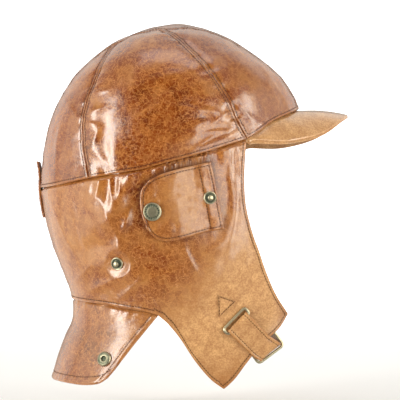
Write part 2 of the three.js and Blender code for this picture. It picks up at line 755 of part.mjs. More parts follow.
// A closed wire loop with round corners in the plane of two unit directions
function wireRing({ long, wide, corner }, centre, alongLong, alongWide) {
  const sides = WIRE_SIDES;
  const cornerSteps = 4;
  const halfLong = (long - WIRE) / 2 - corner;
  const halfWide = (wide - WIRE) / 2 - corner;
  const lift = alongLong.clone().cross(alongWide).normalize();
  const points = [];
  for (let quarter = 0; quarter < 4; quarter += 1) {
    const signLong = quarter === 0 || quarter === 3 ? 1 : -1;
    const signWide = quarter < 2 ? 1 : -1;
    for (let k = 0; k <= cornerSteps; k += 1) {
      const angle = ((quarter + k / cornerSteps) * Math.PI) / 2;
      const out = alongLong.clone()
        .multiplyScalar(Math.cos(angle))
        .addScaledVector(alongWide, Math.sin(angle));
      const middle = centre.clone()
        .addScaledVector(alongLong, signLong * halfLong)
        .addScaledVector(alongWide, signWide * halfWide)
        .addScaledVector(out, corner);
      for (let n = 0; n < sides; n += 1) {
        const turn = (2 * Math.PI * n) / sides;
        points.push(middle.clone()
          .addScaledVector(out, (Math.cos(turn) * WIRE) / 2)
          .addScaledVector(lift, (Math.sin(turn) * WIRE) / 2));
      }
    }
  }
  const rings = points.length / sides;
  const index = [];
  for (let i = 0; i < rings; i += 1) {
    const next = (i + 1) % rings;
    for (let n = 0; n < sides; n += 1) {
      const m = (n + 1) % sides;
      index.push(i * sides + n, i * sides + m, next * sides + m);
      index.push(i * sides + n, next * sides + m, next * sides + n);
    }
  }
  return solid(points, index);
}

function upperRing() {
  const high = onFlap(RING_UPPER_BARS.high, LAY_GAP + WIRE / 2);
  const low = onFlap(RING_UPPER_BARS.low, STRAP_MID + TURN_RADIUS);
  const down = low.point.clone().sub(high.point).normalize();
  const across = down.clone().cross(low.out).normalize();
  return wireRing(RING_UPPER, high.point.clone().lerp(low.point, 0.5), across, down);
}

function lowerRingFrame() {
  const { inside, outside } = RING_LOWER_BARS;
  const centre = pastEdge((inside.along + outside.along) / 2, (inside.lift + outside.lift) / 2, 0).point
    .addScaledVector(FACEWARD, RING_LOWER.shift);
  const down = STRAP_RUN.clone()
    .multiplyScalar(outside.along - inside.along)
    .addScaledVector(FLAP_OUT, outside.lift - inside.lift)
    .normalize();
  const across = down.clone().cross(FLAP_OUT).normalize();
  const plane = across.clone().cross(down);
  const lean = new THREE.Quaternion().setFromAxisAngle(plane, THREE.MathUtils.degToRad(FOLD_LEAN));
  return { centre, across: across.applyQuaternion(lean), down: down.applyQuaternion(lean) };
}

function lowerRing() {
  const { centre, across, down } = lowerRingFrame();
  return wireRing(RING_LOWER, centre, across, down);
}

// A leather tab inside the flap, turned round the lower ring's inner bar
function ringTab() {
  const { centre, across, down } = lowerRingFrame();
  const bar = centre.clone().addScaledVector(down, -(RING_LOWER.wide - WIRE) / 2);
  const outward = FLAP_OUT.clone().addScaledVector(across, -FLAP_OUT.dot(across)).normalize();
  const onward = across.clone().cross(outward);
  if (onward.dot(STRAP_RUN) < 0) onward.negate();
  const onInside = RING_TAB_RUN.sewn.map((along) => onFlap(along, -WALL - STRAP_MID - LAY_GAP));
  const turn = Array.from({ length: 7 }, (_, k) => {
    const angle = (Math.PI * k) / 6;
    const out = outward.clone().multiplyScalar(Math.cos(angle)).addScaledVector(onward, Math.sin(angle));
    return { point: bar.clone().addScaledVector(out, TURN_RADIUS), out };
  });
  const back = RING_TAB_RUN.back.map((rise) => ({
    point: bar.clone().addScaledVector(onward, -rise).addScaledVector(outward, -TURN_RADIUS),
    out: outward.clone().negate(),
  }));
  return band([...onInside, ...turn, ...back], STRAP_WIDTH - 2, STRAP_WALL);
}

// Pieces of the right side that have a twin on the left
function sidePieces(side) {
  return [
    piece(`crown_side_${side}`, crownSide(), LEATHER_DARK),
    piece(`crown_front_${side}`, crownFront(), LEATHER_TAN),
    piece(`crown_back_${side}`, crownBack(), LEATHER_TAN),
    piece(`side_panel_${side}`, sidePanel(), LEATHER_TAN),
    piece(`ear_cover_${side}`, earCover(), LEATHER_PALE),
    piece(`patch_triangle_${side}`, trianglePatch(), LEATHER_DARK),
    piece(`snap_cap_${side}`, snap(HEAD, SNAPS.cap, coverLift(CAP_SHARE), CAP_PROFILE), BRASS),
    piece(`snap_stud_front_${side}`, snap(HEAD, SNAPS.studFront, coverLift(1), STUD_PROFILE), BRASS),
    piece(`snap_stud_back_${side}`, snap(HEAD, SNAPS.studBack, 0, STUD_PROFILE), BRASS),
    piece(`snap_socket_${side}`, snap(NECK, SNAPS.socket, 0, SOCKET_PROFILE), BRASS),
  ];
}

const helmet = new THREE.Group();
helmet.add(...sidePieces('right'));

const leftSide = new THREE.Group();
leftSide.scale.y = -1;
leftSide.add(...sidePieces('left'));
helmet.add(leftSide);

helmet.add(
  piece('crown_strip', crownStrip(), LEATHER_TAN),
  piece('neck_flap', neckFlap(), LEATHER_TAN),
  piece('peak', peak(), LEATHER_PALE),
  piece('goggle_tab', goggleTab(), LEATHER_DARK),
  piece('chin_strap', band(strapStations(), STRAP_WIDTH, STRAP_WALL), LEATHER_PALE),
  piece('ring_upper', upperRing(), BRASS),
  piece('ring_lower', lowerRing(), BRASS),
  piece('ring_tab', ringTab(), LEATHER_TAN),
);

export default helmet;
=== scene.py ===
"""Dresses the leather motoring helmet in folded leather, stitching and aged brass, on a plain stage."""

import math
from collections import namedtuple
from functools import cache

import bpy
import numpy as np
from bpy.props import FloatProperty, FloatVectorProperty, PointerProperty
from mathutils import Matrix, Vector


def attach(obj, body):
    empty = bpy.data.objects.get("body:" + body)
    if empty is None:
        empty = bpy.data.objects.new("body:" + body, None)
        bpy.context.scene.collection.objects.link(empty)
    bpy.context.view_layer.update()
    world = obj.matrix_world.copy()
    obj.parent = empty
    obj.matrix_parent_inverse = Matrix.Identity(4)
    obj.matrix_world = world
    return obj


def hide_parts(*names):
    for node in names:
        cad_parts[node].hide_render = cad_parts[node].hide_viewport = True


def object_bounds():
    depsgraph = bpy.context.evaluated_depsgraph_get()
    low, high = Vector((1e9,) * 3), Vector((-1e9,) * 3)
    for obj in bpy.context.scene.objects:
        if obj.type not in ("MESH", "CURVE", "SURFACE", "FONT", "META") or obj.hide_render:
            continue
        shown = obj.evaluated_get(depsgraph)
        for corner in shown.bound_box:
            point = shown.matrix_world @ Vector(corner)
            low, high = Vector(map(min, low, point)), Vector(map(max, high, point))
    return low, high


bl_info = {
    "name": "Leather Motoring Helmet",
    "version": (1, 0, 0),
    "blender": (4, 5, 0),
    "location": "View3D > Sidebar > Helmet",
    "description": "Dresses the helmet's packed model in leather, thread and brass",
    "category": "Object",
}

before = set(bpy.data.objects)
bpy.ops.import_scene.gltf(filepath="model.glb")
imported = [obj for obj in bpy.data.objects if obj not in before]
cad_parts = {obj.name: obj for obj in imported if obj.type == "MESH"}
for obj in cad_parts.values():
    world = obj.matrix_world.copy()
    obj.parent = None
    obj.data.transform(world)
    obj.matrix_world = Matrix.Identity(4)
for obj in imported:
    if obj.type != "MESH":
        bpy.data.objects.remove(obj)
CAD_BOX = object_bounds()
BODY = "root"
MM = 0.001
FLIP = np.array((1, -1, 1))     # to the other side of the centre plane
UP = np.array((0, 0, 1))
PAIR = ("right", "left")

# Sizes in millimetres, the same as the model's
WALL = 2.0          # crown, side panels and neck flap
COVER_WALL = 2.2    # ear covers
PATCH_WALL = 1.1    # sewn-on triangles
TAB_WALL = 1.8      # goggle strap tab
STRAP_WIDTH = 22.0
STRAP_WALL = 1.4
RING_TAB_WIDTH = 20.0
PEAK_WALL = 3.2
LAY_GAP = 0.35      # between pieces that lie on each other
SEAM_INSET = 0.3    # from the line of a seam to each panel
WIRE = 2.4
ROUND = 2.15        # power of the rounded sections
HEART_X = -8.0      # the point in the head that rays to the form start from
HEART_Z = -115.0
BULGE = {"side": 1.6, "front": 1.2, "back": 1.2}    # of the crown's panels between their seams
CREASED = {"side": 1.0, "front": 0.8, "back": 0.9}  # share of the fine creases on them

# The finish of the leather, here alone
TUCK_DEPTH = 2.35   # how far a tucked edge goes in under the next piece
TUCK_RUN = 4.5      # the length over which it does
TUCK_THINNED = 0.9  # how much thinner its rim is
FAR = 99.0          # stands for a distance without end


def table(columns, rows):
    """Named rows from a line of column names and lists of values."""
    row_type = namedtuple("Row", columns)
    return [row_type(*row) for row in rows]


# Outer sections of the head form and of the neck flap, from the top down
HEAD_ROWS = [
    (2, 0, 0, 0, 0),
    (-2, -21, 20.5, 19, 0),
    (-5, -31, 29, 29, -1),
    (-9, -42, 39, 38.5, -3),
    (-16, -57.5, 51.5, 50, -5),
    (-30, -76, 71.5, 65, -7),
    (-44, -90, 88, 74.5, -8),
    (-58, -99, 98.5, 80.5, -9),
    (-72, -107, 104.5, 84.5, -10),
    (-90, -113, 107, 87.5, -12),
    (-115, -117.5, 107, 89.5, -14),
    (-141, -119.3, 107, 89.5, -14),
    (-165, -116, 107, 88, -12),
    (-190, -109, 109, 85.5, -9),
    (-212, -101, 112, 82.5, -5),
    (-237, -92.5, 116, 78.5, 0),
    (-265, -89, 118, 73.5, 3),
    (-290, -87, 118, 68, 4),
    (-316, -85, 116, 62, 4),
]
NECK_ROWS = [
    (-225, -96.5, 114, 80.5, -2),
    (-237, -92.5, 112, 78.5, 0),
    (-248, -91.3, 100, 77.5, -3),
    (-258, -92.5, 90, 78, -6),
    (-270, -98, 80, 80.5, -10),
    (-288, -105, 70, 85, -13),
    (-306, -110, 62, 90, -14),
    (-320, -114, 56, 94, -14),
]

# Main folds and dents in side view, as in the model: a dent's height is negative
FOLD_ROWS = table("x z turn long wide high", [
    (-48, -152, 62, 26, 7, 2.6),
    (-62, -168, 118, 22, 7, 2.2),
    (-86, -165, 80, 30, 10, -2),
    (-66, -192, 20, 30, 10, -1.8),
    (-30, -214, 155, 32, 9, 1.8),
    (2, -205, 12, 34, 9, -1.6),
    (48, -150, 84, 26, 5, 1.8),
    (40, -190, 70, 30, 9, 1.8),
    (62, -222, 62, 26, 8, -1.4),
    (24, -262, 48, 34, 10, 1.6),
    (6, -104, 20, 28, 7, 1.8),
    (-58, -112, 96, 24, 6, -1.6),
    (-92, -104, 82, 26, 9, 1.6),
    (30, -72, 122, 26, 8, 1.4),
    (-24, -66, 30, 34, 14, -1.4),
])
GATHER_ROWS = table("x high", [
    (-84, 1.1), (-73, -0.8), (-62, 1.3), (-50, -0.9), (-38, 1), (-24, -0.8),
    (4, 0.9), (13, -0.8), (22, 1), (31, -0.8), (40, 0.9),
])
GATHER_FROM, GATHER_TO = -16.0, 34.0    # where the folds below the seam show, with painted shade in their hollows, in x
GATHER_SHOWN = 8.0
GATHER_WIDTH = 5.0
GATHER_DEPTH = 14.0
FOLD_FADE = 30.0
SMOOTH_ROWS = table("x z radius", [
    (5, -154, 40), (38, -238, 17), (60, -262, 26), (82, -258, 16),
    (-49.3, -204.5, 10), (-60, -284, 14),
])

# Fine creases with a sharp crest, in the leather's face alone
CREST_WIDTH = 0.12
CREST_FALL = 1.7
CREASE_ROWS = table("x z turn long wide high", [
    (-69, -147, -32, 13, 4, 0.9),
    (-56, -164, -67, 16, 4, 0.9),
    (-48, -187, -84, 13, 4, 0.7),
    (-41, -170, 74, 11, 3.5, 2.0),
    (-72, -146, 84, 8, 2.2, 1.0),
    (-64.5, -143, 80, 9, 2.2, 0.9),
    (-54, -142, 97, 10, 2.4, 1.1),
    (-47, -140, 95, 8, 2.2, 0.9),
    (-83, -172, -72, 30, 3, 0.9),
    (-97, -178, -66, 24, 3, 0.7),
    (-37, -225, 41, 12, 3, 1.1),
    (-60, -222, 25, 18, 4, 0.8),
    (-80, -214, 50, 16, 3.5, 0.7),
    (-60, -119, -41, 13, 5, 1.2),
    (-67, -101, 68, 9, 2.4, 0.9),
    (-66, -78, 20, 8, 3, 1.0),
    (-63, -62, 14, 8, 3, 1.0),
    (-69, -90, -12, 7, 2.6, 0.9),
    (55, -79, -48, 12, 3, 1.3),
    (66, -86, -30, 9, 2.5, 0.7),
    (16, -91, 20, 12, 5, 2.0),
    (15, -78, -8, 20, 4, 1.4),
    (40, -97, 25, 12, 3, 1.6),
    (24, -104, 33, 12, 3, 1.4),
    (34, -86, 35, 9, 2.6, 1.2),
    (30, -96, 8, 9, 2.4, 1.0),
    (44, -131, -86, 24, 3.5, 1.3),
    (51, -120, -80, 12, 2.6, 0.8),
    (10, -200, -62, 12, 3, 1.1),
    (26, -196, 40, 14, 3, 0.9),
    (-8, -212, 18, 20, 4, 0.8),
    (-20, -236, -20, 16, 4, 0.8),
    (18, -236, 50, 20, 5, 0.9),
    (4, -250, 40, 18, 4, 0.7),
    (-26, -196, -30, 16, 3.5, 0.8),
    (-6, -50, 15, 26, 6, 0.6),
    (30, -40, -50, 20, 5, 0.5),
    (80, -60, -60, 14, 4, 0.6),
    (-92, -70, -60, 20, 4, 0.8),
    (-100, -110, 86, 22, 3.5, 0.8),
])

# Wide, low swellings in the leather's face
SWELL_ROWS = table("x z turn long wide high", [
    (-66, -145, -45, 15, 11, 1.8),
    (-52, -163, -60, 16, 13, 2.9),
    (-46, -192, -86, 26, 12, 3.2),
    (-73, -88, 80, 20, 9, 1.5),
    (-55, -113, -62, 18, 9, 2.0),
])

# Patches of darker or lighter leather in side view; the patch behind the ear cover, below the band seam, is
# painted shade
TONE_ROWS = table("x z wide tall tone", [
    (-20, -100, 34, 24, -0.45),
    (-8, -60, 30, 18, -0.3),
    (-35, -120, 20, 10, -0.5),
    (30, -84, 22, 16, -0.2),
    (-95, -90, 24, 50, -0.25),
    (70, -60, 36, 34, 0.2),
    # painted shade behind the ear cover, below the band seam
    (-28, -150, 16, 22, -0.9),
    (-30, -200, 26, 24, -0.5),
    (0, -215, 34, 16, -0.4),
    (36, -135, 8, 22, -0.7),
    (-82, -200, 20, 50, 0.3),
    (45, -215, 30, 34, 0.55),
    (30, -270, 34, 34, 0.7),
    (-85, -275, 34, 24, -1.9),
    (-40, -258, 24, 12, -0.6),
    (110, -90, 40, 30, 0.5),
])

# Places that have lost their wax: matt, even and without veins; the row on the ear cover is partly painted
# highlight
DRY_ROWS = table("x z wide tall tone", [
    (46, -222, 26, 34, 0.8),
    (28, -268, 46, 34, 1.2),
    (68, -185, 16, 40, 0.7),
    (74, -240, 22, 30, 0.8),
    # on the ear cover: a pale band, partly the leather paling where it bends and partly painted highlight
    (7, -145, 15, 30, 0.5),
    (-88, -195, 20, 44, 0.15),
    (-65, -275, 36, 28, 0.15),
])

# Lines on the form in side view, as pairs of x and z
BACK_HEIGHTS = {"band": -141.4, "neck_seam": -237.2, "hem": -305.5}
REAR_SEAM = [
    (-51.2, -16.8), (-59.2, -26.2), (-64.4, -37.4), (-70.9, -56.6),
    (-75.3, -70.2), (-77.5, -85.4), (-77.7, -102.2), (-75.8, -118.9), (-72, -133.8),
]
FRONT_SEAM = [
    (-15.2, -6.3), (-3, -13.4), (6.4, -21.9), (21.5, -38.5), (35.6, -58), (43.3, -71.5),
    (48.8, -84.7), (58, -101.2),
]
BAND_REAR = [(-118.3, BACK_HEIGHTS["band"]), (-107.7, -140.2), (-92, -137.4), (-72, -133.8)]
BAND_FRONT = [
    (-72, -133.8), (-48.4, -129.8), (-28.6, -126.6), (-8.9, -121.3), (7.5, -117.1),
    (24.4, -112.4), (42.1, -106.6), (58, -101.2),
]
BROW = [(58, -101.2), (67.3, -95.6), (76.7, -88), (84.6, -83.6), (91.7, -80.2), (102, -74.6)]
FACE_EDGE = [
    (58, -101.2), (56.7, -118.9), (56, -137), (57.1, -156.1), (59.7, -167.8),
    (63.9, -181.9), (69, -195.4), (78.6, -222.5), (84.7, -234.6), (93.3, -247.9),
]
CHIN_EDGE = [
    (93.3, -247.9), (86.2, -259.3), (71.7, -272.3), (57.5, -289.4), (47.5, -302.7), (39.1, -310.6),
]
TAB_REAR = [
    (39.1, -310.6), (28.2, -302.3), (16.5, -288.5), (3.2, -268.1), (-7.5, -254.7), (-15.8, -247.6),
]
NECK_SEAM = [
    (-15.8, -247.6), (-26.6, -244.8), (-39.1, -243), (-54.9, -240.5), (-72.1, -238.6),
    (-90, BACK_HEIGHTS["neck_seam"]),
]
NECK_FRONT = [(-15.8, -247.6), (-22, -255), (-33.5, -268.5), (-45, -283), (-52, -292), (-58, -299)]
NECK_HEM = [(-58, -299), (-65, -303.4), (-76, BACK_HEIGHTS["hem"]), (-98, BACK_HEIGHTS["hem"])]

# The centre strip's right edge, front to back
STRIP_FRONT = [
    (102.4, -20, -74.2), (98, -21, -56), (86, -22, -40), (66, -23.5, -24), (40, -25, -11),
    (12, -27, -5), (-15.2, -29, -6.3),
]
STRIP_TOP = [(-15.2, -29, -6.3), (-33, -29, -9), (-51.2, -28, -16.8)]
STRIP_REAR = [
    (-51.2, -28, -16.8), (-78, -26, -38), (-98, -24, -62), (-112, -22, -92), (-117, -21, -116),
    (-118.3, -20, BACK_HEIGHTS["band"]),
]

COVER_FRONT = [(27.6, -120.5), (38.3, -175.7)]
COVER_TOP = [(-22, -135.6), (-13.8, -131.3), (0.1, -126.9), (16.5, -123), (27.6, -120.5)]
COVER_REAR = [(-22, -135.6), (-28, -142.8), (-29.4, -150.4), (-28.1, -163.2), (-23.7, -175.8)]
COVER_BOTTOM = [
    (-23.7, -175.8), (-16.5, -183), (-8.3, -185.2), (5.5, -183), (22, -178.7), (38.3, -175.7),
]
COVER_STAND_OFF = 1.8
COVER_FREE = 0.625      # share of its length, from the round end, that stands off
COVER_TILT = 3.4        # extra rise of the face towards the round end
COVER_TILT_RUN = 27.0
HINGE_LINE = 11.0       # from the cover's front edge to the end of its hinge strip
HINGE_STRIP = 0.3       # height of that strip
SHADOW_WIDTH = 3.2      # of the painted contact shadow round the cover

TRIANGLE = {"top": (33.5, -230.6), "front": (48.5, -235.9), "low": (34.3, -249), "blunt": (1.2, 1)}
GOGGLE_TAB = {"top": -119, "bottom": -167, "half_width": 11, "stand_off": 3.4, "free": 0.33}
SNAPS = {
    "cap": (-19.6, -161),
    "stud_front": (26.4, -150),
    "stud_back": (-49.3, -204.5),
    "socket": (-60, -284),
}
PEAK_EDGE = [
    (63.5, -70.6, -102.6), (91, -65, -102.8), (121, -47, -95.6), (141, -24, -82.4), (148, 0, -77.9),
]
PEAK_HEEL = (60.3, -72.4, -103.6)
PEAK_RISE = 2.0
PEAK_DEPTH = 62.0

STRAP_CROSSING = (69.8, -274.2)     # where the strap's middle line leaves the flap
STRAP_SLOPE = (0.695, -0.719)
FOLD_LEAN = -11.0                   # degrees that the strap leans where it folds in
FOLD_DRIFT = 0.22                   # and its drift towards the face, as a share of its length
RING_UPPER_BARS = {"high": -36, "low": -30}
RING_UPPER = {"long": 27.8, "wide": 8.4, "corner": 2.2}
RING_LOWER = {"long": 28.6, "wide": 19.5, "corner": 3, "shift": 1.9}
RING_LOWER_BARS = {"inside": (-3, -6.6), "outside": (13.1, -0.6)}
RING_TAB_RUN = {"sewn": (-22, -17, -12), "back": (5, 10)}
STRAP_TAIL_RUN = (-12, -18, -24)
STRAP_SEWN_RUN = (-4, -11, -18, -25, -32)
STRAP_OVER_ROWS = table("along lift", [
    (-26, 4.9), (-21, 3.9), (-16, 3.2), (-12, 2.9), (-8, 2.3), (-4, 1.5), (0, 1.2),
])
STRAP_BEND_ROWS = table("along lift turn", [
    (4, 1.1, 0), (8.3, 0.8, 22), (10.9, -1, 58), (12.2, -5, 80),
])

# Half of the strap's section: distance from its middle line as a share of half the width, and height
STRAP_SECTION = [
    (0, 0.5), (0.3, 0.5), (0.58, 0.49), (0.68, 0.46), (0.74, 0.4), (0.78, 0.42), (0.84, 0.52),
    (0.9, 0.56), (0.95, 0.52), (0.985, 0.36), (1, 0.1), (0.99, -0.25), (0.96, -0.45), (0.9, -0.5),
    (0.5, -0.5), (0, -0.5),
]
STRAP_BENEATH = -0.48   # below this height the strap shows its flesh side
STRAP_STITCH = 0.75     # place of the strap's stitches on half its width
STRAP_STITCH_SEAT = 0.42
STRAP_STEP = 1.1

# Turned fastener parts: radius, height and how much the brass is rubbed bright there
CAP_PROFILE = [
    (0, 2.0, 0.75), (3.6, 1.95, 0.65), (4.0, 1.85, 0.5), (5.2, 1.8, 0.55), (6.4, 1.75, 0.45),
    (6.8, 1.9, 0.5), (7.1, 2.0, 0.95), (7.35, 1.75, 0.9), (7.5, 1.4, 0.5), (7.5, 0.5, 0.3), (6.7, 0, 0.2),
]
STUD_PROFILE = [
    (0, 3.75, 1), (1.0, 3.7, 1), (1.8, 3.45, 1), (2.25, 2.95, 0.8), (2.15, 2.4, 0.4),
    (1.85, 1.7, 0.1), (2.0, 0.95, 0), (2.7, 0.65, 0), (3.8, 0.65, 0.05), (4.4, 0.95, 0.6),
    (4.85, 1.1, 1), (5.25, 0.8, 1), (5.3, 0.4, 0.6), (4.8, 0, 0.2),
]
SOCKET_PROFILE = [
    (0, 0.6, 0), (1.9, 0.6, 0), (2.1, 1.4, 0.2), (2.5, 1.95, 0.9), (3.2, 2.1, 0.35), (4.2, 2.15, 0.1),
    (5.0, 2.05, 0.25), (5.7, 1.7, 0.7), (6.2, 1.0, 0.8), (6.3, 0.6, 0.6), (5.8, 0, 0.2),
]

# A ring of small dents in the cap's face
CapDots = namedtuple("CapDots", "ring count size depth")
CAP_DOTS = CapDots(ring=5.3, count=17, size=0.75, depth=0.35)

# Finishes of an edge: how far it rolls over, its raised bead, the length that is tucked in, its
# stitch lines' distances from it and how much it puckers
Edge = namedtuple("Edge", "roll bead tuck stitches pucker", defaults=(0, 0, 0, (), 0))
SEAM = Edge(roll=0.6, stitches=(2.5,), pucker=0.6)
OVER = Edge(roll=0.9, bead=0.45, stitches=(2.4,), pucker=0.2)
TUCKED = Edge(tuck=3, pucker=0.5)
TURNED = Edge(roll=1.0, bead=0.35, stitches=(3.0,), pucker=0.12)
HEMMED = Edge(roll=1.0, bead=0.25, stitches=(6.6,), pucker=0.3)
NECK_RIM = Edge(roll=1.0, bead=0.3, stitches=(4.6,), pucker=0.2)
COVER_EDGE = Edge(roll=0.9, bead=0.25, stitches=(2.6,), pucker=0.1)
PATCH_EDGE = Edge(roll=0.3, stitches=(0.75,))
TAB_EDGE = Edge(roll=0.6, bead=0.1, stitches=(2.4,))
PEAK_RIM = Edge(roll=1.3)
PLAIN = Edge()
CROWN_EDGES = {"top": SEAM, "bottom": OVER, "left": SEAM, "right": SEAM}
PALE_EDGES = (OVER, TURNED, HEMMED, NECK_RIM)
SEWN_EDGES = (SEAM, TUCKED)
ROLL_WIDTH = 1.5
BEAD_END = 5.4          # from the edge to the foot of its bead
BEAD_FALL = 2.6
PUCKER_ROWS = table("long high reach", [(5.5, 1.6, 7), (2.4, 0.88, 4.5)])
PUCKER_START = 2.5      # from the edge to full puckers
GROOVE = 0.25           # depth of the line that stitches press into the leather
GROOVE_WIDTH = 0.75
STITCH_SHADE = 0.6      # half width of the painted shade and duller wax along a stitch line
STITCH_CLEAR = 2.4      # from the end of a stitch line to the next edge
STITCH_SIDES = 6

# A stitch along its length: share of the length, of the width, and height over the leather
STITCH_SHAPE = [(-0.5, 0.45, -0.3), (-0.34, 0.9, 0.02), (0, 1, 0.14), (0.34, 0.9, 0.02), (0.5, 0.45, -0.3)]


# Settings that the sidebar shows

def tint(name, description, default):
    """A colour setting."""
    return FloatVectorProperty(
        name=name, description=description, subtype="COLOR", default=default, min=0, max=1)


class LeatherSettings(bpy.types.PropertyGroup):
    """Colours and surface of the leather."""

    # painted shade: the colour laid into seams, stitch lines and gathers and round the ear cover
    painted_shade: tint("Deep", "Leather in its seams and contact shadows", (0.075, 0.016, 0.003))
    dark: tint("Dark", "Deepest patches of the leather", (0.085, 0.011, 0.0007))
    tan: tint("Tan", "Main colour of the leather", (0.18, 0.037, 0.0042))
    pale: tint("Pale", "Rubbed places and fine veins", (0.325, 0.127, 0.029))
    dry: tint("Dry", "Places that have lost their wax", (0.66, 0.385, 0.165))
    flesh: tint("Flesh side", "Unfinished inside of the leather", (0.42, 0.24, 0.13))
    gloss: FloatProperty(
        name="Roughness", description="Roughness of the waxed face", default=0.19, min=0, max=1)
    creases: FloatProperty(
        name="Creases", description="Strength of the fine creases", default=1.0, min=0, max=3)


class StitchSettings(bpy.types.PropertyGroup):
    """Size and colour of the sewing."""

    pitch: FloatProperty(
        name="Pitch", description="Distance between stitches in millimetres", default=2.5, min=1)
    length: FloatProperty(
        name="Length", description="Length of a stitch in millimetres", default=2.1, min=0.5)
    width: FloatProperty(
        name="Width", description="Thickness of the thread in millimetres", default=0.52, min=0.1)
    colour: tint("Thread", "Colour of the thread", (0.04, 0.014, 0.006))


class BrassSettings(bpy.types.PropertyGroup):
    """Colours of the aged brass."""

    bright: tint("Bright", "Rubbed brass", (0.6, 0.54, 0.37))
    tarnish: tint("Tarnish", "Dull brass in the hollows", (0.085, 0.1, 0.07))


class StageSettings(bpy.types.PropertyGroup):
    """Camera, floor and lights."""

    distance: FloatProperty(
        name="Distance", description="From the camera to the helmet's centre plane",
        unit="LENGTH", default=1.5, min=0.3)
    lens: FloatProperty(name="Lens", description="Focal length in millimetres", default=154.8, min=20)
    clearance: FloatProperty(
        name="Clearance", description="Height of the helmet over the floor",
        unit="LENGTH", default=0.03, min=0)
    key: FloatProperty(name="Key", description="Power of the side lights in watts", default=8, min=0)
    soft: FloatProperty(
        name="Soft", description="Power of the broad light beside the camera in watts", default=7, min=0)
    tent: FloatProperty(
        name="Tent", description="Power of the large sheets at both sides in watts", default=8, min=0)
    top: FloatProperty(name="Top", description="Power of the top light in watts", default=4.5, min=0)
    back: FloatProperty(
        name="Back", description="Power of the light behind the helmet in watts", default=46, min=0)
    floor: tint("Floor", "Colour of the floor and wall", (0.93, 0.94, 0.96))


# Plain vector and curve work, on arrays of points in millimetres

TRACE_STEPS = 24
RIM_SPACING = (0, 0.35, 0.9, 1.6, 2.3, 3.0, 3.8, 4.8, 6.0)


def unit(vectors):
    """Vectors of length one."""
    return vectors / np.maximum(np.linalg.norm(vectors, axis=-1, keepdims=True), 1e-9)


def ease(share):
    """A smooth step from 0 to 1."""
    share = np.clip(share, 0, 1)
    return share * share * (3 - 2 * share)


def smooth(points, steps):
    """Evenly spaced points on a centripetal curve through the given ones."""
    points = np.asarray(points, float)
    knots = np.array([2 * points[0] - points[1], *points, 2 * points[-1] - points[-2]])
    share = np.linspace(0, 1, 25)[:-1, None]
    fine = []
    for before, start, end, after in zip(knots, knots[1:], knots[2:], knots[3:]):
        gaps = [max(np.linalg.norm(b - a), 1e-6) ** 0.5
                for a, b in ((before, start), (start, end), (end, after))]
        leave = ((start - before) / gaps[0] - (end - before) / (gaps[0] + gaps[1])
                 + (end - start) / gaps[1]) * gaps[1]
        arrive = ((end - start) / gaps[1] - (after - start) / (gaps[1] + gaps[2])
                  + (after - end) / gaps[2]) * gaps[1]
        fine.append(start + (end - start) * share ** 2 * (3 - 2 * share)
                    + leave * share * (1 - share) ** 2 + arrive * share ** 2 * (share - 1))
    return resample(np.vstack([*fine, points[-1:]]), steps)


def lengths(points):
    """Distance along a line to each of its points."""
    return np.concatenate([[0], np.cumsum(np.linalg.norm(np.diff(points, axis=0), axis=1))])


def interpolate(at, run, rows):
    """Rows of numbers, such as points, at places along their run."""
    return np.stack([np.interp(at, run, column) for column in rows.T], axis=-1)


def resample(points, steps):
    """The same line with evenly spaced points."""
    run = lengths(points)
    return interpolate(np.linspace(0, run[-1], steps + 1), run, points)


def trace(*legs):
    """One side of an outline from legs, each a line and its share of the side in steps."""
    parts = [smooth(line, steps * TRACE_STEPS) for line, steps in legs]
    return np.vstack([parts[0], *[part[1:] for part in parts[1:]]])


def at_share(line, shares):
    """Points of a line at shares of its list of points."""
    return interpolate(shares * (len(line) - 1), np.arange(len(line)), line)


def mirrored(points):
    """The twin on the other side of the centre plane, in reverse order."""
    return points[::-1] * FLIP


def turns(count):
    """Evenly spaced angles of a whole turn."""
    return np.arange(count) * math.tau / count


def spacing(length, step):
    """Shares of a length, close together near both ends."""
    rim = np.array(RIM_SPACING)
    count = max(2, round((length - 2 * rim[-1]) / step))
    middle = np.linspace(rim[-1], length - rim[-1], count + 1)[1:-1]
    return np.concatenate([rim, middle, length - rim[::-1]]) / length


def fill(outline, across, down):
    """A grid of points inside a four-sided outline."""
    top, bottom = (at_share(outline[side], across)[:, None] for side in ("top", "bottom"))
    left, right = (at_share(outline[side], down)[None] for side in ("left", "right"))
    s = across[:, None, None]
    t = down[None, :, None]
    corners = ((1 - s) * (1 - t) * outline["top"][0] + s * (1 - t) * outline["top"][-1]
               + (1 - s) * t * outline["bottom"][0] + s * t * outline["bottom"][-1])
    return top * (1 - t) + bottom * t + left * (1 - s) + right * s - corners


class Noise:
    """Smooth random heights between about -1 and 1, the same on every run."""

    SIZE = 32

    def __init__(self, seed):
        self.lattice = np.random.default_rng(seed).uniform(-1, 1, (self.SIZE,) * 3)

    def __call__(self, points, scale):
        at = points / scale
        cell = np.floor(at).astype(int)
        share = ease(at - cell)
        total = 0
        for corner in np.ndindex(2, 2, 2):
            weight = np.prod(np.where(corner, share, 1 - share), axis=-1)
            i, j, k = np.moveaxis((cell + corner) % self.SIZE, -1, 0)
            total = total + weight * self.lattice[i, j, k]
        return total


BROAD_NOISE = Noise(3)
FINE_NOISE = Noise(11)
SEAM_NOISE = Noise(23)


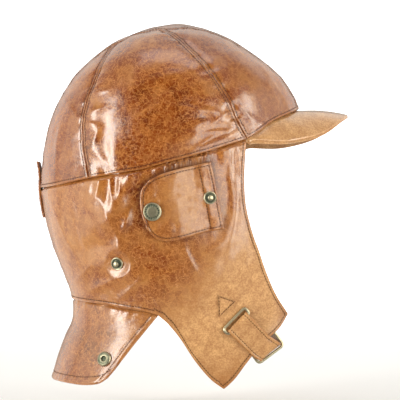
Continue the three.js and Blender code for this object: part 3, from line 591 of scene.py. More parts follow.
class Form:
    """A stack of rounded horizontal sections, joined by smooth cubics."""

    FINE = 200

    def __init__(self, rows):
        rows = np.array(rows, float)
        slopes = np.gradient(rows, axis=0)
        if rows[0, 3] == 0:
            slopes[0, 0] = 0
        place = np.linspace(0, len(rows) - 1, (len(rows) - 1) * self.FINE + 1)
        i = np.minimum(place.astype(int), len(rows) - 2)
        f = (place - i)[:, None]
        values = (rows[i] + (rows[i + 1] - rows[i]) * f * f * (3 - 2 * f)
                  + slopes[i] * f * (1 - f) ** 2 + slopes[i + 1] * f * f * (f - 1))
        self.height, *self.columns = values[::-1].T

    def section(self, z):
        """Back, front, half width and middle at a height."""
        return [np.interp(z, self.height, column) for column in self.columns]

    def reach(self, points):
        """Below 1 inside the form, 1 on its surface."""
        x, y, z = np.moveaxis(points, -1, 0)
        back, front, half, mid = self.section(z)
        length = np.maximum(np.where(x > mid, front - mid, mid - back), 1e-6)
        size = (np.abs(x - mid) / length) ** ROUND + (np.abs(y) / np.maximum(half, 1e-6)) ** ROUND
        return np.where(z >= self.height[-1], np.inf, size)

    def hearts(self, points):
        """Where the rays through the points start, inside the head."""
        z = np.minimum(points[..., 2], HEART_Z)
        return np.stack([np.full_like(z, HEART_X), np.zeros_like(z), z], axis=-1)

    def seat(self, points):
        """The points pushed out or in to the form's surface."""
        points = np.asarray(points, float)
        heart = self.hearts(points)
        ray = points - heart
        low = np.zeros(points.shape[:-1])
        high = np.full(points.shape[:-1], 3.0)
        for _ in range(28):
            middle = (low + high) / 2
            inside = self.reach(heart + ray * middle[..., None]) < 1
            low = np.where(inside, middle, low)
            high = np.where(inside, high, middle)
        return heart + ray * low[..., None]

    def side(self, pairs):
        """Points of the right side that side view shows at pairs of x and z."""
        x, z = np.asarray(pairs, float).T
        back, front, half, mid = self.section(z)
        length = np.where(x > mid, front - mid, mid - back)
        rest = np.clip(1 - (np.abs(x - mid) / length) ** ROUND, 0, 1)
        return np.stack([x, -half * rest ** (1 / ROUND), z], axis=1)

    def normal(self, points):
        """The ways out of the form at points of its surface."""
        out = unit(points - self.hearts(points))
        across = np.stack([-out[..., 1], out[..., 0], np.zeros_like(out[..., 0])], axis=-1)
        across[np.linalg.norm(across, axis=-1) < 1e-3] = (0, 1, 0)
        across = unit(across)
        up = np.cross(out, across)
        along = self.seat(points + across) - self.seat(points - across)
        rise = self.seat(points + up) - self.seat(points - up)
        normal = unit(np.cross(along, rise))
        return normal * np.sign(np.sum(normal * out, axis=-1, keepdims=True))


HEAD = Form(HEAD_ROWS)
NECK = Form(NECK_ROWS)


def across_fold(points, row):
    """Distances along and across a fold, as shares of its size."""
    turn = math.radians(row.turn)
    dx = points[..., 0] - row.x
    dz = points[..., 2] - row.z
    along = (dx * math.cos(turn) + dz * math.sin(turn)) / row.long
    across = (dz * math.cos(turn) - dx * math.sin(turn)) / row.wide
    return along, across


def calm(points):
    """Nearly 0 where something is sewn on and the leather lies smooth, else 1."""
    share = 1.0
    for spot in SMOOTH_ROWS:
        distance = np.hypot(points[..., 0] - spot.x, points[..., 2] - spot.z) / spot.radius
        share = share * (1 - np.exp(-distance ** 6))
    return share


def relief(points):
    """Height of the main folds over the form, the same as the model's."""
    height = np.zeros(points.shape[:-1])
    for row in FOLD_ROWS:
        along, across = across_fold(points, row)
        height += row.high * np.exp(-along ** 2 - across ** 2)
    line = np.array(BAND_REAR + BAND_FRONT[1:])
    below = (np.interp(points[..., 0], line[:, 0], line[:, 1]) - points[..., 2]) / GATHER_DEPTH
    for gather in GATHER_ROWS:
        across = (points[..., 0] - gather.x) / GATHER_WIDTH
        fade = np.clip(below * 4, 0, 1) * np.exp(-across ** 2 - np.maximum(below, 0) ** 2)
        height += gather.high * fade
    return height * calm(points) * np.minimum(1, np.abs(points[..., 1]) / FOLD_FADE)


def creases(points, side):
    """Height of the fine creases; the left side has its own."""
    moved = points
    if side == "left":
        x, _, z = np.moveaxis(points, -1, 0)
        moved = points + np.stack([7 * np.sin(z / 31), np.zeros_like(x), 9 * np.cos(x / 37)], axis=-1)
    height = np.zeros(points.shape[:-1])
    for row in CREASE_ROWS:
        along, across = across_fold(moved, row)
        crest = np.exp(-CREST_FALL * (np.sqrt(across ** 2 + CREST_WIDTH) - CREST_WIDTH ** 0.5))
        height += row.high * crest * np.exp(-along ** 2)
    for row in SWELL_ROWS:
        along, across = across_fold(moved, row)
        height += row.high * np.exp(-along ** 2 - across ** 2)
    sag = BROAD_NOISE(moved * (1, 1, 0.8), 26) * 0.75
    warped = moved + 3 * BROAD_NOISE(moved, 17)[..., None]
    ridges = (1 - np.abs(BROAD_NOISE(warped, 12)) * 2) * 0.28
    grain = FINE_NOISE(moved, 5) * 0.1
    here = 0.35 + 0.65 * ease(FINE_NOISE(points, 41) + 0.5)
    height += sag + (ridges + grain) * here
    strength = bpy.context.scene.helmet_leather.creases
    return height * (0.15 + 0.85 * calm(points)) * strength


def tone(points, rows):
    """How dark or light the leather is, from about -1 to 1, or how dry."""
    total = np.zeros(points.shape[:-1])
    for row in rows:
        dx = (points[..., 0] - row.x) / row.wide
        dz = (points[..., 2] - row.z) / row.tall
        total += row.tone * np.exp(-dx * dx - dz * dz)
    return total


def beside(far, line, width):
    """1 on a line at a distance from an edge, fading beside it."""
    return np.exp(-((far - line) / width) ** 2)


def rounded(far):
    """The profile of a rolled edge, from 0 at the edge to 1 a little way in."""
    short = np.clip(1 - far / ROLL_WIDTH, 0, 1)
    return np.sqrt(1 - short ** 2)


def grid_normals(grid, out):
    """Unit normals of a grid of points, facing the same way as out."""
    normal = unit(np.cross(np.gradient(grid, axis=0), np.gradient(grid, axis=1)))
    return normal * np.sign(np.sum(normal * out, axis=-1, keepdims=True) + 1e-9)


class Panel:
    """A piece of leather on a form: its middle grid, its distances from the sides and its two faces."""

    SIDES = ("top", "bottom", "left", "right")

    def __init__(self, form, outline, edges, step=1.5, tuck_form=None):
        width = (lengths(outline["top"])[-1] + lengths(outline["bottom"])[-1]) / 2
        height = (lengths(outline["left"])[-1] + lengths(outline["right"])[-1]) / 2
        self.across = spacing(width, step)
        self.down = spacing(height, step)
        self.edges = edges
        grid = form.seat(fill(outline, self.across, self.down))
        extra = dict.fromkeys(self.SIDES, 0)
        if edges["top"].tuck:
            steps = np.linspace(edges["top"].tuck, 0, 4)[:-1]
            way = unit(grid[:, :1] - grid[:, 3:4])
            grid = np.concatenate([form.seat(grid[:, :1] + way * steps[None, :, None]), grid], axis=1)
            extra["top"] = len(steps)
            self.down = np.concatenate([-steps / height, self.down])
        distance = self.measure(grid, extra)
        if tuck_form:
            share = ease(distance["top"] / 12)[..., None]
            grid = tuck_form.seat(grid) * (1 - share) + grid * share
        self.start(grid, form.normal(grid), distance)

    def start(self, grid, normal, distance):
        """Sets the middle grid and what the leather's colour depends on."""
        self.base = grid
        self.normal = normal
        self.distance = distance
        self.shaded = np.zeros(grid.shape[:2])
        self.gathered = np.zeros(grid.shape[:2])
        self.stitched = self.near_stitches()
        self.more_lines = []

    @staticmethod
    def measure(grid, extra):
        """Distance of each point from the four sides, square to them."""
        along = unit(np.gradient(grid, axis=0))
        down = unit(np.gradient(grid, axis=1))
        square = np.linalg.norm(np.cross(along, down), axis=-1)
        runs = []
        for axis in (0, 1):
            step = np.linalg.norm(np.diff(grid, axis=axis), axis=-1)
            mean = (square.take(range(1, grid.shape[axis]), axis)
                    + square.take(range(grid.shape[axis] - 1), axis)) / 2
            run = np.cumsum(step * mean, axis=axis)
            runs.append(np.concatenate([np.zeros_like(run.take([0], axis)), run], axis=axis))
        across_run, down_run = runs
        return {
            "left": across_run,
            "right": across_run[-1:] - across_run,
            "top": down_run - down_run[:, extra["top"]][:, None],
            "bottom": down_run[:, -1:] - down_run,
        }

    def feet(self, side):
        """The side's own points, one for each row or column."""
        grid = self.base
        return {"top": grid[:, :1], "bottom": grid[:, -1:], "left": grid[:1], "right": grid[-1:]}[side]

    def near_stitches(self):
        """1 on the stitch lines, fading beside them."""
        near = np.zeros(self.base.shape[:2])
        for side in self.SIDES:
            for line in self.edges[side].stitches:
                near = np.maximum(near, beside(self.distance[side], line, STITCH_SHADE))
        return near

    def edge_height(self):
        """How the finish of the edges raises and lowers the face."""
        roll, bead, other = np.zeros((3, *self.base.shape[:2]))
        for side in self.SIDES:
            edge = self.edges[side]
            far = self.distance[side]
            if edge.roll:
                roll = np.minimum(roll, edge.roll * (rounded(far) - 1))
            if edge.bead:
                bead = np.maximum(bead, edge.bead * ease((BEAD_END - far) / BEAD_FALL))
            for line in edge.stitches:
                other -= GROOVE * beside(far, line, GROOVE_WIDTH)
            if edge.tuck:
                other -= TUCK_DEPTH * (1 - ease((far + 0.2) / TUCK_RUN)) ** 1.5
            if edge.pucker:
                foot = np.broadcast_to(self.feet(side), self.base.shape)
                for row in PUCKER_ROWS:
                    wave = row.high * SEAM_NOISE(foot, row.long) * np.exp(-(far / row.reach) ** 2)
                    other += edge.pucker * wave * ease(far / PUCKER_START)
        return roll + bead + other

    def faces(self, wall, lift, detail):
        """Sets the outer and inner face; lift is a height in millimetres or an array of them."""
        base_height = relief(self.base) + lift
        self.crease = detail * np.ones(self.base.shape[:2])
        height = detail + self.edge_height()
        self.rise = lift + height
        self.outer = self.base + self.normal * (base_height + height)[..., None]
        self.outer_normal = grid_normals(self.outer, self.normal)
        depth = np.full(self.base.shape[:2], float(wall))
        if self.edges["top"].tuck:
            far = self.distance["top"]
            depth += TUCK_DEPTH * (1 - ease((far - 0.5) / TUCK_RUN)) - TUCK_THINNED * (far < 1)
        self.inner = self.base + self.normal * (base_height - depth)[..., None]
        return self

    def rise_at(self, pair):
        """Height of the face over the folded form at a pair of x and z."""
        far = np.hypot(self.base[..., 0] - pair[0], self.base[..., 2] - pair[1])
        return self.rise.flat[np.argmin(far)]

    def nearest(self, kinds):
        """Distance from the nearest side whose edge is one of these kinds."""
        near = np.full(self.base.shape[:2], FAR)
        for side in self.SIDES:
            if self.edges[side] in kinds:
                near = np.minimum(near, np.abs(self.distance[side]))
        return near

    def line(self, side, distance, clear):
        """Points and normals of the outer face along a line at a distance from one side."""
        ends = ("left", "right") if side in ("top", "bottom") else ("top", "bottom")
        distances = [self.distance[name][..., None] for name in (side, *ends)]
        fields = [self.outer, self.outer_normal, *distances]
        if side in ("left", "right"):
            fields = [field.transpose(1, 0, 2) for field in fields]
        if side in ("bottom", "right"):
            fields = [field[:, ::-1] for field in fields]
        points, normals, far, *to_ends = fields
        found = []
        for k, row in enumerate(far[..., 0]):
            place = np.interp(distance, row, np.arange(len(row)))
            i = min(int(place), len(row) - 2)
            f = place - i
            point, normal, *gaps = (
                field[k, i] * (1 - f) + field[k, i + 1] * f for field in (points, normals, *to_ends))
            if min(gaps) >= clear - 1e-6:
                found.append((point, normal))
        return np.array([p for p, _ in found]), unit(np.array([n for _, n in found]))

    def stitch_lines(self):
        """The stitch lines of all its edges."""
        lines = [self.line(side, distance, min(distance, STITCH_CLEAR))
                 for side in self.SIDES for distance in self.edges[side].stitches]
        return [line for line in lines if len(line[0]) > 3]


# Meshes

def border(columns, rows):
    """Index pairs round a grid."""
    return ([(i, 0) for i in range(columns - 1)] + [(columns - 1, j) for j in range(rows - 1)]
            + [(i, rows - 1) for i in range(columns - 1, 0, -1)] + [(0, j) for j in range(rows - 1, 0, -1)])


def sheet_faces(columns, rows):
    """Faces that close two matching grids, and the material of each: outer, inner or rim."""
    index = np.arange(columns * rows).reshape(columns, rows)
    a, b, c, d = index[:-1, :-1], index[:-1, 1:], index[1:, 1:], index[1:, :-1]
    outer = np.stack([a, b, c, d], axis=-1).reshape(-1, 4)
    inner = outer[:, ::-1] + columns * rows
    loop = [i * rows + j for i, j in border(columns, rows)]
    ring = [(p, q, q + columns * rows, p + columns * rows) for p, q in zip(loop, loop[1:] + loop[:1])]
    faces = np.vstack([outer, inner, np.array(ring)])
    picks = np.repeat([0, 1, 0], [len(outer), len(inner), len(ring)])
    return faces, picks


def tube_faces(rings, sides, closed=False):
    """Faces round a row of rings of points; a closed row also joins its last ring to its first."""
    index = np.arange(rings * sides).reshape(rings, sides)
    next_side = np.roll(index, -1, axis=1)
    next_ring = np.roll(index, -1, axis=0)
    faces = np.stack([index, next_side, np.roll(next_side, -1, axis=0), next_ring], axis=-1)
    return (faces if closed else faces[:-1]).reshape(-1, 4)


def end_faces(rings, sides, ring):
    """Faces across the first or the last ring of a tube with an even number of sides."""
    order = np.arange(sides)[::-1] if ring == 0 else np.arange(sides) + (rings - 1) * sides
    return np.array([(order[k], order[k + 1], order[sides - 2 - k], order[sides - 1 - k])
                     for k in range(sides // 2 - 1)])


def faces_out(points, faces):
    """The faces, turned round if their solid is inside out."""
    a, b, c = points[faces[:, 0]], points[faces[:, 1]], points[faces[:, 2]]
    d = points[faces[:, 3]]
    volume = np.sum(a * np.cross(b, c)) + np.sum(a * np.cross(c, d))
    return faces[:, ::-1] if volume < 0 else faces


def make(name, points, faces, materials, picks=None, fields=None, side="right"):
    """A smooth-shaded mesh object from points in millimetres; the left side is the right's mirror."""
    if side == "left":
        points = points * FLIP
        faces = faces[:, ::-1]
    mesh = bpy.data.meshes.new(name)
    mesh.from_pydata((points * MM).tolist(), [], faces.tolist())
    for surface in materials:
        mesh.materials.append(surface)
    if picks is not None:
        mesh.polygons.foreach_set("material_index", picks.astype(np.int32))
    for key, values in (fields or {}).items():
        attribute = mesh.attributes.new(key, "FLOAT", "POINT")
        attribute.data.foreach_set("value", values.astype(np.float32).ravel())
    mesh.update()
    mesh.validate()
    mesh.shade_smooth()
    mesh.set_sharp_from_angle(angle=math.radians(50))
    thing = bpy.data.objects.new(name, mesh)
    bpy.context.scene.collection.objects.link(thing)
    return thing


def wear(thing, node):
    """Puts a finished piece in the place of one of the model's nodes."""
    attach(thing, BODY)
    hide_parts(node)


def make_leather(node, panel, finish, inner="flesh_side", side="right"):
    """A leather piece from a panel's faces, and its stitches."""
    points = np.vstack([panel.outer.reshape(-1, 3), panel.inner.reshape(-1, 3)])
    faces, picks = sheet_faces(*panel.outer.shape[:2])
    distances = {"turned": panel.nearest(PALE_EDGES), "sewn": panel.nearest(SEWN_EDGES)}
    shares = {
        "crest": panel.crease, "tone": tone(panel.base, TONE_ROWS), "dry": tone(panel.base, DRY_ROWS),
        "shaded": panel.shaded, "gathered": panel.gathered, "stitched": panel.stitched,
    }
    fields = {}
    for group, inside in ((distances, FAR), (shares, 0)):
        for key, values in group.items():
            fields[key] = np.concatenate([values.ravel(), np.full(values.size, inside)])
    surfaces = [material(finish), material(inner)]
    piece = make(f"{node}_leather", points, faces_out(points, faces), surfaces, picks, fields, side)
    wear(piece, node)
    lines = panel.stitch_lines() + panel.more_lines
    if lines:
        make_stitches(node, lines, side)


def make_stitches(node, lines, side="right"):
    """Every stitch of a piece as one mesh: short threads that dip into the leather at both ends."""
    settings = bpy.context.scene.helmet_stitches
    share, fat, rise = np.array(STITCH_SHAPE).T
    turn = turns(STITCH_SIDES)
    threads = []
    for points, normals in lines:
        run = lengths(points)
        count = int(run[-1] / settings.pitch)
        centre = (np.arange(count) + 0.5) * run[-1] / max(count, 1)
        at = centre[:, None] + share * settings.length
        place = interpolate(at, run, points)
        out = unit(interpolate(at, run, normals))
        along = unit(place[:, -1:] - place[:, :1])
        across = unit(np.cross(along, out))
        place = place + out * rise[:, None]
        around = across[:, :, None] * np.cos(turn)[:, None] + out[:, :, None] * np.sin(turn)[:, None]
        radius = fat[:, None, None] * settings.width / 2
        threads.append((place[:, :, None] + around * radius).reshape(-1, 3))
    points = np.vstack(threads)
    rings = len(share)
    one = np.vstack([
        tube_faces(rings, STITCH_SIDES),
        end_faces(rings, STITCH_SIDES, 0),
        end_faces(rings, STITCH_SIDES, -1),
    ])
    first = np.arange(0, len(points), rings * STITCH_SIDES)
    faces = faces_out(points, (one + first[:, None, None]).reshape(-1, 4))
    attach(make(f"{node}_stitches", points, faces, [material("thread")], side=side), BODY)


# Shaders

class Value:
    """A shader socket that takes part in Python sums."""

    def __init__(self, recipe, socket):
        self.recipe = recipe
        self.socket = socket

    def math(self, operation, first, second):
        return self.recipe.node("ShaderNodeMath", {"operation": operation}, {0: first, 1: second})

    def __add__(self, other):
        return self.math("ADD", self, other)

    __radd__ = __add__

    def __mul__(self, other):
        return self.math("MULTIPLY", self, other)

    __rmul__ = __mul__

    def __sub__(self, other):
        return self.math("SUBTRACT", self, other)

    def __rsub__(self, other):
        return self.math("SUBTRACT", other, self)

    def size(self):
        """Without its sign."""
        return self.math("ABSOLUTE", self, 0)

    def clamp(self):
        return self.recipe.node("ShaderNodeClamp", {}, {0: self})

    def between(self, low, high):
        """A smooth rise from 0 at low to 1 at high, or a fall where low is above high."""
        if low > high:
            return 1 - self.between(high, low)
        return self.recipe.node(
            "ShaderNodeMapRange", {"interpolation_type": "SMOOTHSTEP"}, {0: self, 1: low, 2: high})


class Recipe:
    """The nodes of one material or world, and the few ways they are made."""

    def __init__(self, owner, place="Object"):
        owner.use_nodes = True
        self.owner = owner
        self.tree = owner.node_tree
        self.tree.nodes.clear()
        self.place = self.node("ShaderNodeTexCoord", {}, {}, place)

    def node(self, kind, settings, inputs, output=0):
        """A node of a kind, its settings, then the values or links of its sockets."""
        made = self.tree.nodes.new(kind)
        for key, setting in settings.items():
            if key == "stops":
                self.set_stops(made.color_ramp, setting)
            elif key == "ramp":
                made.color_ramp.interpolation = setting
            else:
                setattr(made, key, setting)
        for key, value in inputs.items():
            if isinstance(value, Value):
                self.tree.links.new(value.socket, made.inputs[key])
            else:
                made.inputs[key].default_value = value
        return Value(self, made.outputs[output] if len(made.outputs) else None)

    @staticmethod
    def set_stops(ramp, stops):
        """Places the stops of a colour ramp, which starts with two of its own."""
        for position, _ in stops[1:-1]:
            ramp.elements.new(position)
        for element, (position, colour) in zip(ramp.elements, stops):
            element.position = position
            element.color = (*colour, 1)

    def field(self, name):
        """A value that the mesh carries."""
        return self.node("ShaderNodeAttribute", {"attribute_name": name}, {}, "Fac")

    def scaled(self, size, stretch=(1, 1, 1)):
        """The place on the object, so that one unit is a size in millimetres."""
        scale = tuple(part / (size * MM) for part in stretch)
        inputs = {"Vector": self.place, "Scale": scale}
        return self.node("ShaderNodeMapping", {"vector_type": "POINT"}, inputs)

    def vector(self, operation, inputs):
        """A sum of places."""
        return self.node("ShaderNodeVectorMath", {"operation": operation}, inputs)

    def noise(self, size, detail=2.0, rough=0.5, warp=0.0, stretch=(1, 1, 1)):
        return self.node("ShaderNodeTexNoise", {}, {
            "Vector": self.scaled(size, stretch), "Scale": 1.0, "Detail": detail,
            "Roughness": rough, "Distortion": warp}, "Fac")

    def warped(self, size, amount, warp_size):
        """Places shifted by noise, for cells that don't look ruled."""
        shift = self.node("ShaderNodeTexNoise", {}, {
            "Vector": self.scaled(warp_size), "Scale": 1.0, "Detail": 3.0}, "Color")
        centred = self.vector("SUBTRACT", {0: shift, 1: (0.5,) * 3})
        moved = self.vector("SCALE", {0: centred, "Scale": amount})
        return self.vector("ADD", {0: self.scaled(size), 1: moved})

    def cells(self, vector, feature):
        inputs = {"Vector": vector, "Scale": 1.0}
        return self.node("ShaderNodeTexVoronoi", {"feature": feature}, inputs, "Distance")

    def mix(self, share, first, second):
        first, second = (c if isinstance(c, Value) else (*c, 1) for c in (first, second))
        return self.node("ShaderNodeMix", {"data_type": "RGBA"}, {0: share, 6: first, 7: second}, 2)

    def bump(self, height, distance, strength, below=None):
        inputs = {"Height": height, "Distance": distance * MM, "Strength": strength}
        if below:
            inputs["Normal"] = below
        return self.node("ShaderNodeBump", {}, inputs)

    def surface(self, inputs, dull=None, share=None):
        """Ends a material, with a share of a duller surface mixed in where one is given."""
        shader = self.node("ShaderNodeBsdfPrincipled", {}, inputs)
        if dull:
            other = self.node("ShaderNodeBsdfPrincipled", {}, dull)
            shader = self.node("ShaderNodeMixShader", {}, {0: share, 1: shader, 2: other})
        self.node("ShaderNodeOutputMaterial", {}, {"Surface": shader})


def times(colour, factor):
    """A colour with every part multiplied."""
    return [part * factor for part in colour]


def leather(r, shade, mottle, veins, coat=0.85, faded=0.0, dull=0.0):
    """Aged, waxed leather: mottled, finely veined and pale on its turned edges, with painted shade in its
    seams, stitch lines and gathers and a painted shadow round the ear cover.
    """
    dry = (r.field("dry") + faded).clamp()
    vein = (leather_veins(r) * (1 - dry * 0.75)).clamp()
    folds = r.noise(2.8, 1, 0.5, 0.0, (1, 1, 0.1))
    colour = leather_colour(r, shade, mottle, veins, dry, vein, folds)
    normal = leather_bumps(r, vein, folds)
    shaded = r.field("shaded")
    gloss = bpy.context.scene.helmet_leather.gloss - 0.03
    rough = r.noise(11, 4, 0.6).between(0.3, 0.75) * 0.06 + vein * 0.06 + gloss
    both = {"Base Color": colour, "IOR": 1.5, "Normal": normal}
    waxed = {
        **both, "Roughness": rough, "Specular IOR Level": 1.0,
        "Coat Weight": (1 - shaded * 0.8) * (coat * 0.45), "Coat Roughness": 0.14, "Coat IOR": 1.5}
    worn = {**both, "Roughness": 0.5, "Specular IOR Level": 0.3}
    share = r.field("dry") * 0.9 + shaded * 0.5 + r.field("stitched") * 0.4 + dull
    r.surface(waxed, worn, share.clamp())


def leather_veins(r):
    """A net of fine cracks in the wax, with curls and hairs between them."""
    net = r.cells(r.warped(4.6, 2.2, 5), "DISTANCE_TO_EDGE").between(0.085, 0.02)
    curls = (1 - (r.noise(6, 1.5, 0.5, 1.5) - 0.5).size() * 46).clamp()
    hairs = (1 - (r.noise(3.4, 1, 0.5, 1.2) - 0.5).size() * 30).clamp()
    here = r.noise(9, 2, 0.5).between(0.3, 0.6)
    return net * 0.65 + curls * (0.45 + here * 0.4) + hairs * 0.5


def leather_colour(r, shade, mottle, veins, dry, vein, folds):
    """The leather's colours, laid over each other from its ground to its painted shade and painted contact
    shadows.
    """
    settings = bpy.context.scene.helmet_leather
    clouds = (r.noise(30, 1, 0.5, 0.4) - 0.5) * (0.9 * mottle)
    patches = (r.noise(12, 2, 0.55, 0.8) - 0.5) * (1.7 * mottle)
    place = r.field("tone") * 0.28 + shade + (clouds + patches) * (1 - dry * 0.75) + 0.4
    stops = [(0.0, settings.dark), (0.45, settings.tan), (1.0, settings.pale)]
    colour = r.node("ShaderNodeValToRGB", {"stops": stops}, {0: place.clamp()})
    faded_leather = r.mix(r.noise(7, 4, 0.65).between(0.35, 0.65) * 0.32, settings.dry, settings.tan)
    freckles = r.noise(1.3, 2, 0.7).between(0.5, 0.68) * r.noise(9, 3, 0.6).between(0.3, 0.6)
    grit = r.noise(1.4, 2, 0.6).between(0.35, 0.65)
    ragged = r.noise(3, 3, 0.6)
    crest, sewn = r.field("crest"), r.field("sewn")
    ridge = 1 - ((sewn + (ragged - 0.5) * 0.8 - 1.6).size() * 1.2)
    for share, layer in (
        ((vein * (0.95 * veins)).clamp(), times(settings.pale, 1.4)),
        (crest.between(0.6, 2.6) * 0.3, settings.pale),
        (crest.between(-0.2, -1.4) * 0.4, settings.dark),
        (dry * 0.85, faded_leather),
        (freckles * (dry * 0.2), settings.tan),
        (grit * (0.12 + dry * 0.25), settings.tan),
        # painted shade in the hollows of the gathers below the band seam
        (r.field("gathered") * folds.between(0.56, 0.4) * 0.9, settings.painted_shade),
        ((r.field("turned") + ragged * 1.2).between(2.2, 1.0) * 0.6, times(settings.pale, 1.15)),
        (ridge.clamp() * 0.4, settings.pale),
        # painted shade in the groove of a seam
        ((sewn + ragged * 0.4).between(0.8, 0.3) * 0.6, settings.painted_shade),
        # painted shade along the stitch lines
        (r.field("stitched") * 0.5, settings.painted_shade),
        # painted contact shadow round the ear cover
        (r.field("shaded") * 0.75, settings.painted_shade),
    ):
        colour = r.mix(share, colour, layer)
    return colour


def leather_bumps(r, vein, folds):
    """Grain, wrinkles, cracks and the folds of a gathered seam."""
    grain = r.cells(r.warped(1.0, 0.5, 2), "F1") + r.noise(0.5, 2) * 0.4
    normal = None
    for height, depth, strength in (
        (grain, 0.04, 0.5),
        (r.noise(4.2, 4, 0.6, 1.0), 0.16, 0.4),
        (1 - vein, 0.06, 0.5),
        (folds * r.field("gathered"), 2.4, 1.0),
    ):
        normal = r.bump(height, depth, strength, normal)
    return normal


def flesh_side(r):
    """The unfinished inside of the leather."""
    flesh = bpy.context.scene.helmet_leather.flesh
    nap = r.noise(1.2, 5, 0.7)
    share = (nap * 0.6 + r.noise(18, 4, 0.6) * 0.6).clamp()
    r.surface({
        "Base Color": r.mix(share, times(flesh, 0.6), flesh), "Roughness": 0.9,
        "Normal": r.bump(nap, 0.25, 0.7), "Sheen Weight": 0.2, "Sheen Roughness": 0.5})


def thread(r):
    """Waxed thread, lighter on top of its twist."""
    base = bpy.context.scene.helmet_stitches.colour
    twist = r.noise(0.5, 2)
    r.surface({
        "Base Color": r.mix(twist, times(base, 0.7), times(base, 1.8)), "Roughness": 0.7,
        "Specular IOR Level": 0.05, "Normal": r.bump(twist, 0.1, 0.5)})


def brass(r, polish):
    """Aged brass, dull green-brown in its hollows and bright where it is rubbed."""
    settings = bpy.context.scene.helmet_brass
    blotch = r.noise(2.6, 4, 0.6)
    specks = r.noise(0.7, 3, 0.6)
    rubbed = (r.field("rubbed") + polish + (blotch - 0.5) * 0.9 + (specks - 0.5) * 0.4).clamp()
    r.surface({
        "Base Color": r.mix(rubbed, settings.tarnish, settings.bright), "Metallic": 0.92,
        "Roughness": 0.52 - rubbed * 0.24 + specks * 0.08,
        "Normal": r.bump(specks + blotch, 0.06, 0.4)})


# Materials: the name of the model's slot for each one, which nothing here uses, its recipe and the recipe's
# values
Finish = namedtuple("Finish", "slot recipe values")
FINISHES = {
    "crown_leather": Finish("tan_leather", leather, {"shade": 0.14, "mottle": 0.8, "veins": 0.62}),
    "brown_leather": Finish("brown_leather", leather, {"shade": 0.13, "mottle": 1.0, "veins": 0.9}),
    "panel_leather": Finish("tan_leather", leather, {"shade": 0.3, "mottle": 1.0, "veins": 1.0}),
    "patch_leather": Finish("brown_leather", leather, {
        "shade": 0.12, "mottle": 0.5, "veins": 0.6, "coat": 0.3, "faded": 0.2, "dull": 0.4}),
    # the peak is pale partly as its own faded leather and partly as painted sheen on its top
    "peak_leather": Finish("peak_leather", leather, {
        "shade": 0.5, "mottle": 0.3, "veins": 0.2, "coat": 1.0, "faded": 1.0}),
    "strap_leather": Finish("strap_leather", leather, {
        "shade": 0.5, "mottle": 0.4, "veins": 0.3, "coat": 0.3, "faded": 0.9, "dull": 0.5}),
    "flesh_side": Finish(None, flesh_side, {}),
    "thread": Finish(None, thread, {}),
    "aged_brass": Finish("aged_brass", brass, {"polish": 0.0}),
    "brass_wire": Finish("aged_brass", brass, {"polish": 0.35}),
}


@cache
def material(name):
    """The material of that name, made when it is first asked for."""
    surface = bpy.data.materials.new(name)
    FINISHES[name].recipe(Recipe(surface), **FINISHES[name].values)
    return surface


# Leather pieces

def bulge(panel, height):
    """Rises between the seams."""
    across = np.clip(panel.across, 0, 1)[:, None]
    down = np.clip(panel.down, 0, 1)[None]
    return height * (1 - (2 * across - 1) ** 4) * (1 - (2 * down - 1) ** 4)


def crown_panel(part, side, outline):
    """One of the crown's panels, bulged between its seams."""
    panel = Panel(HEAD, outline, CROWN_EDGES, step=1.3)
    return panel.faces(WALL, bulge(panel, BULGE[part]), creases(panel.base, side) * CREASED[part])


def crown_side(side):
    return crown_panel("side", side, {
        "top": trace((HEAD.seat(STRIP_TOP[::-1]), 13)),
        "bottom": trace((HEAD.side(BAND_FRONT), 13)),
        "left": trace((HEAD.side(REAR_SEAM), 12)),
        "right": trace((HEAD.side(FRONT_SEAM), 12)),
    })


def crown_end(part, side, strip_edge, hem, seam, steps):
    """A panel that meets the centre strip with its top and its right side."""
    strip = trace((HEAD.seat(strip_edge), 15))
    corner = 4 * TRACE_STEPS
    return crown_panel(part, side, {
        "top": trace((strip[:corner + 1:12], steps)),
        "bottom": trace((HEAD.side(hem), steps)),
        "left": trace((HEAD.side(seam), 11)),
        "right": trace((strip[corner::12], 11)),
    })


def crown_front(side):
    return crown_end("front", side, STRIP_FRONT[::-1], BROW, FRONT_SEAM, 9)


def crown_back(side):
    return crown_end("back", side, STRIP_REAR, BAND_REAR[::-1], REAR_SEAM, 7)


def crown_strip():
    """From the brow over the top to the back, between the crown's two halves."""
    edge = trace((HEAD.seat(STRIP_FRONT), 13), (HEAD.seat(STRIP_TOP), 3), (HEAD.seat(STRIP_REAR), 12))
    twin = edge * FLIP

    def across_at(k):
        middle = HEAD.seat(edge[k] * (1, 0, 1))
        return trace(([edge[k], middle, twin[k]], 4))

    outline = {"top": edge, "bottom": twin, "left": across_at(0), "right": across_at(-1)}
    edges = {"top": SEAM, "bottom": SEAM, "left": OVER, "right": OVER}
    panel = Panel(HEAD, outline, edges, step=1.5)
    return panel.faces(WALL, 0, creases(panel.base, "right") * 0.7)


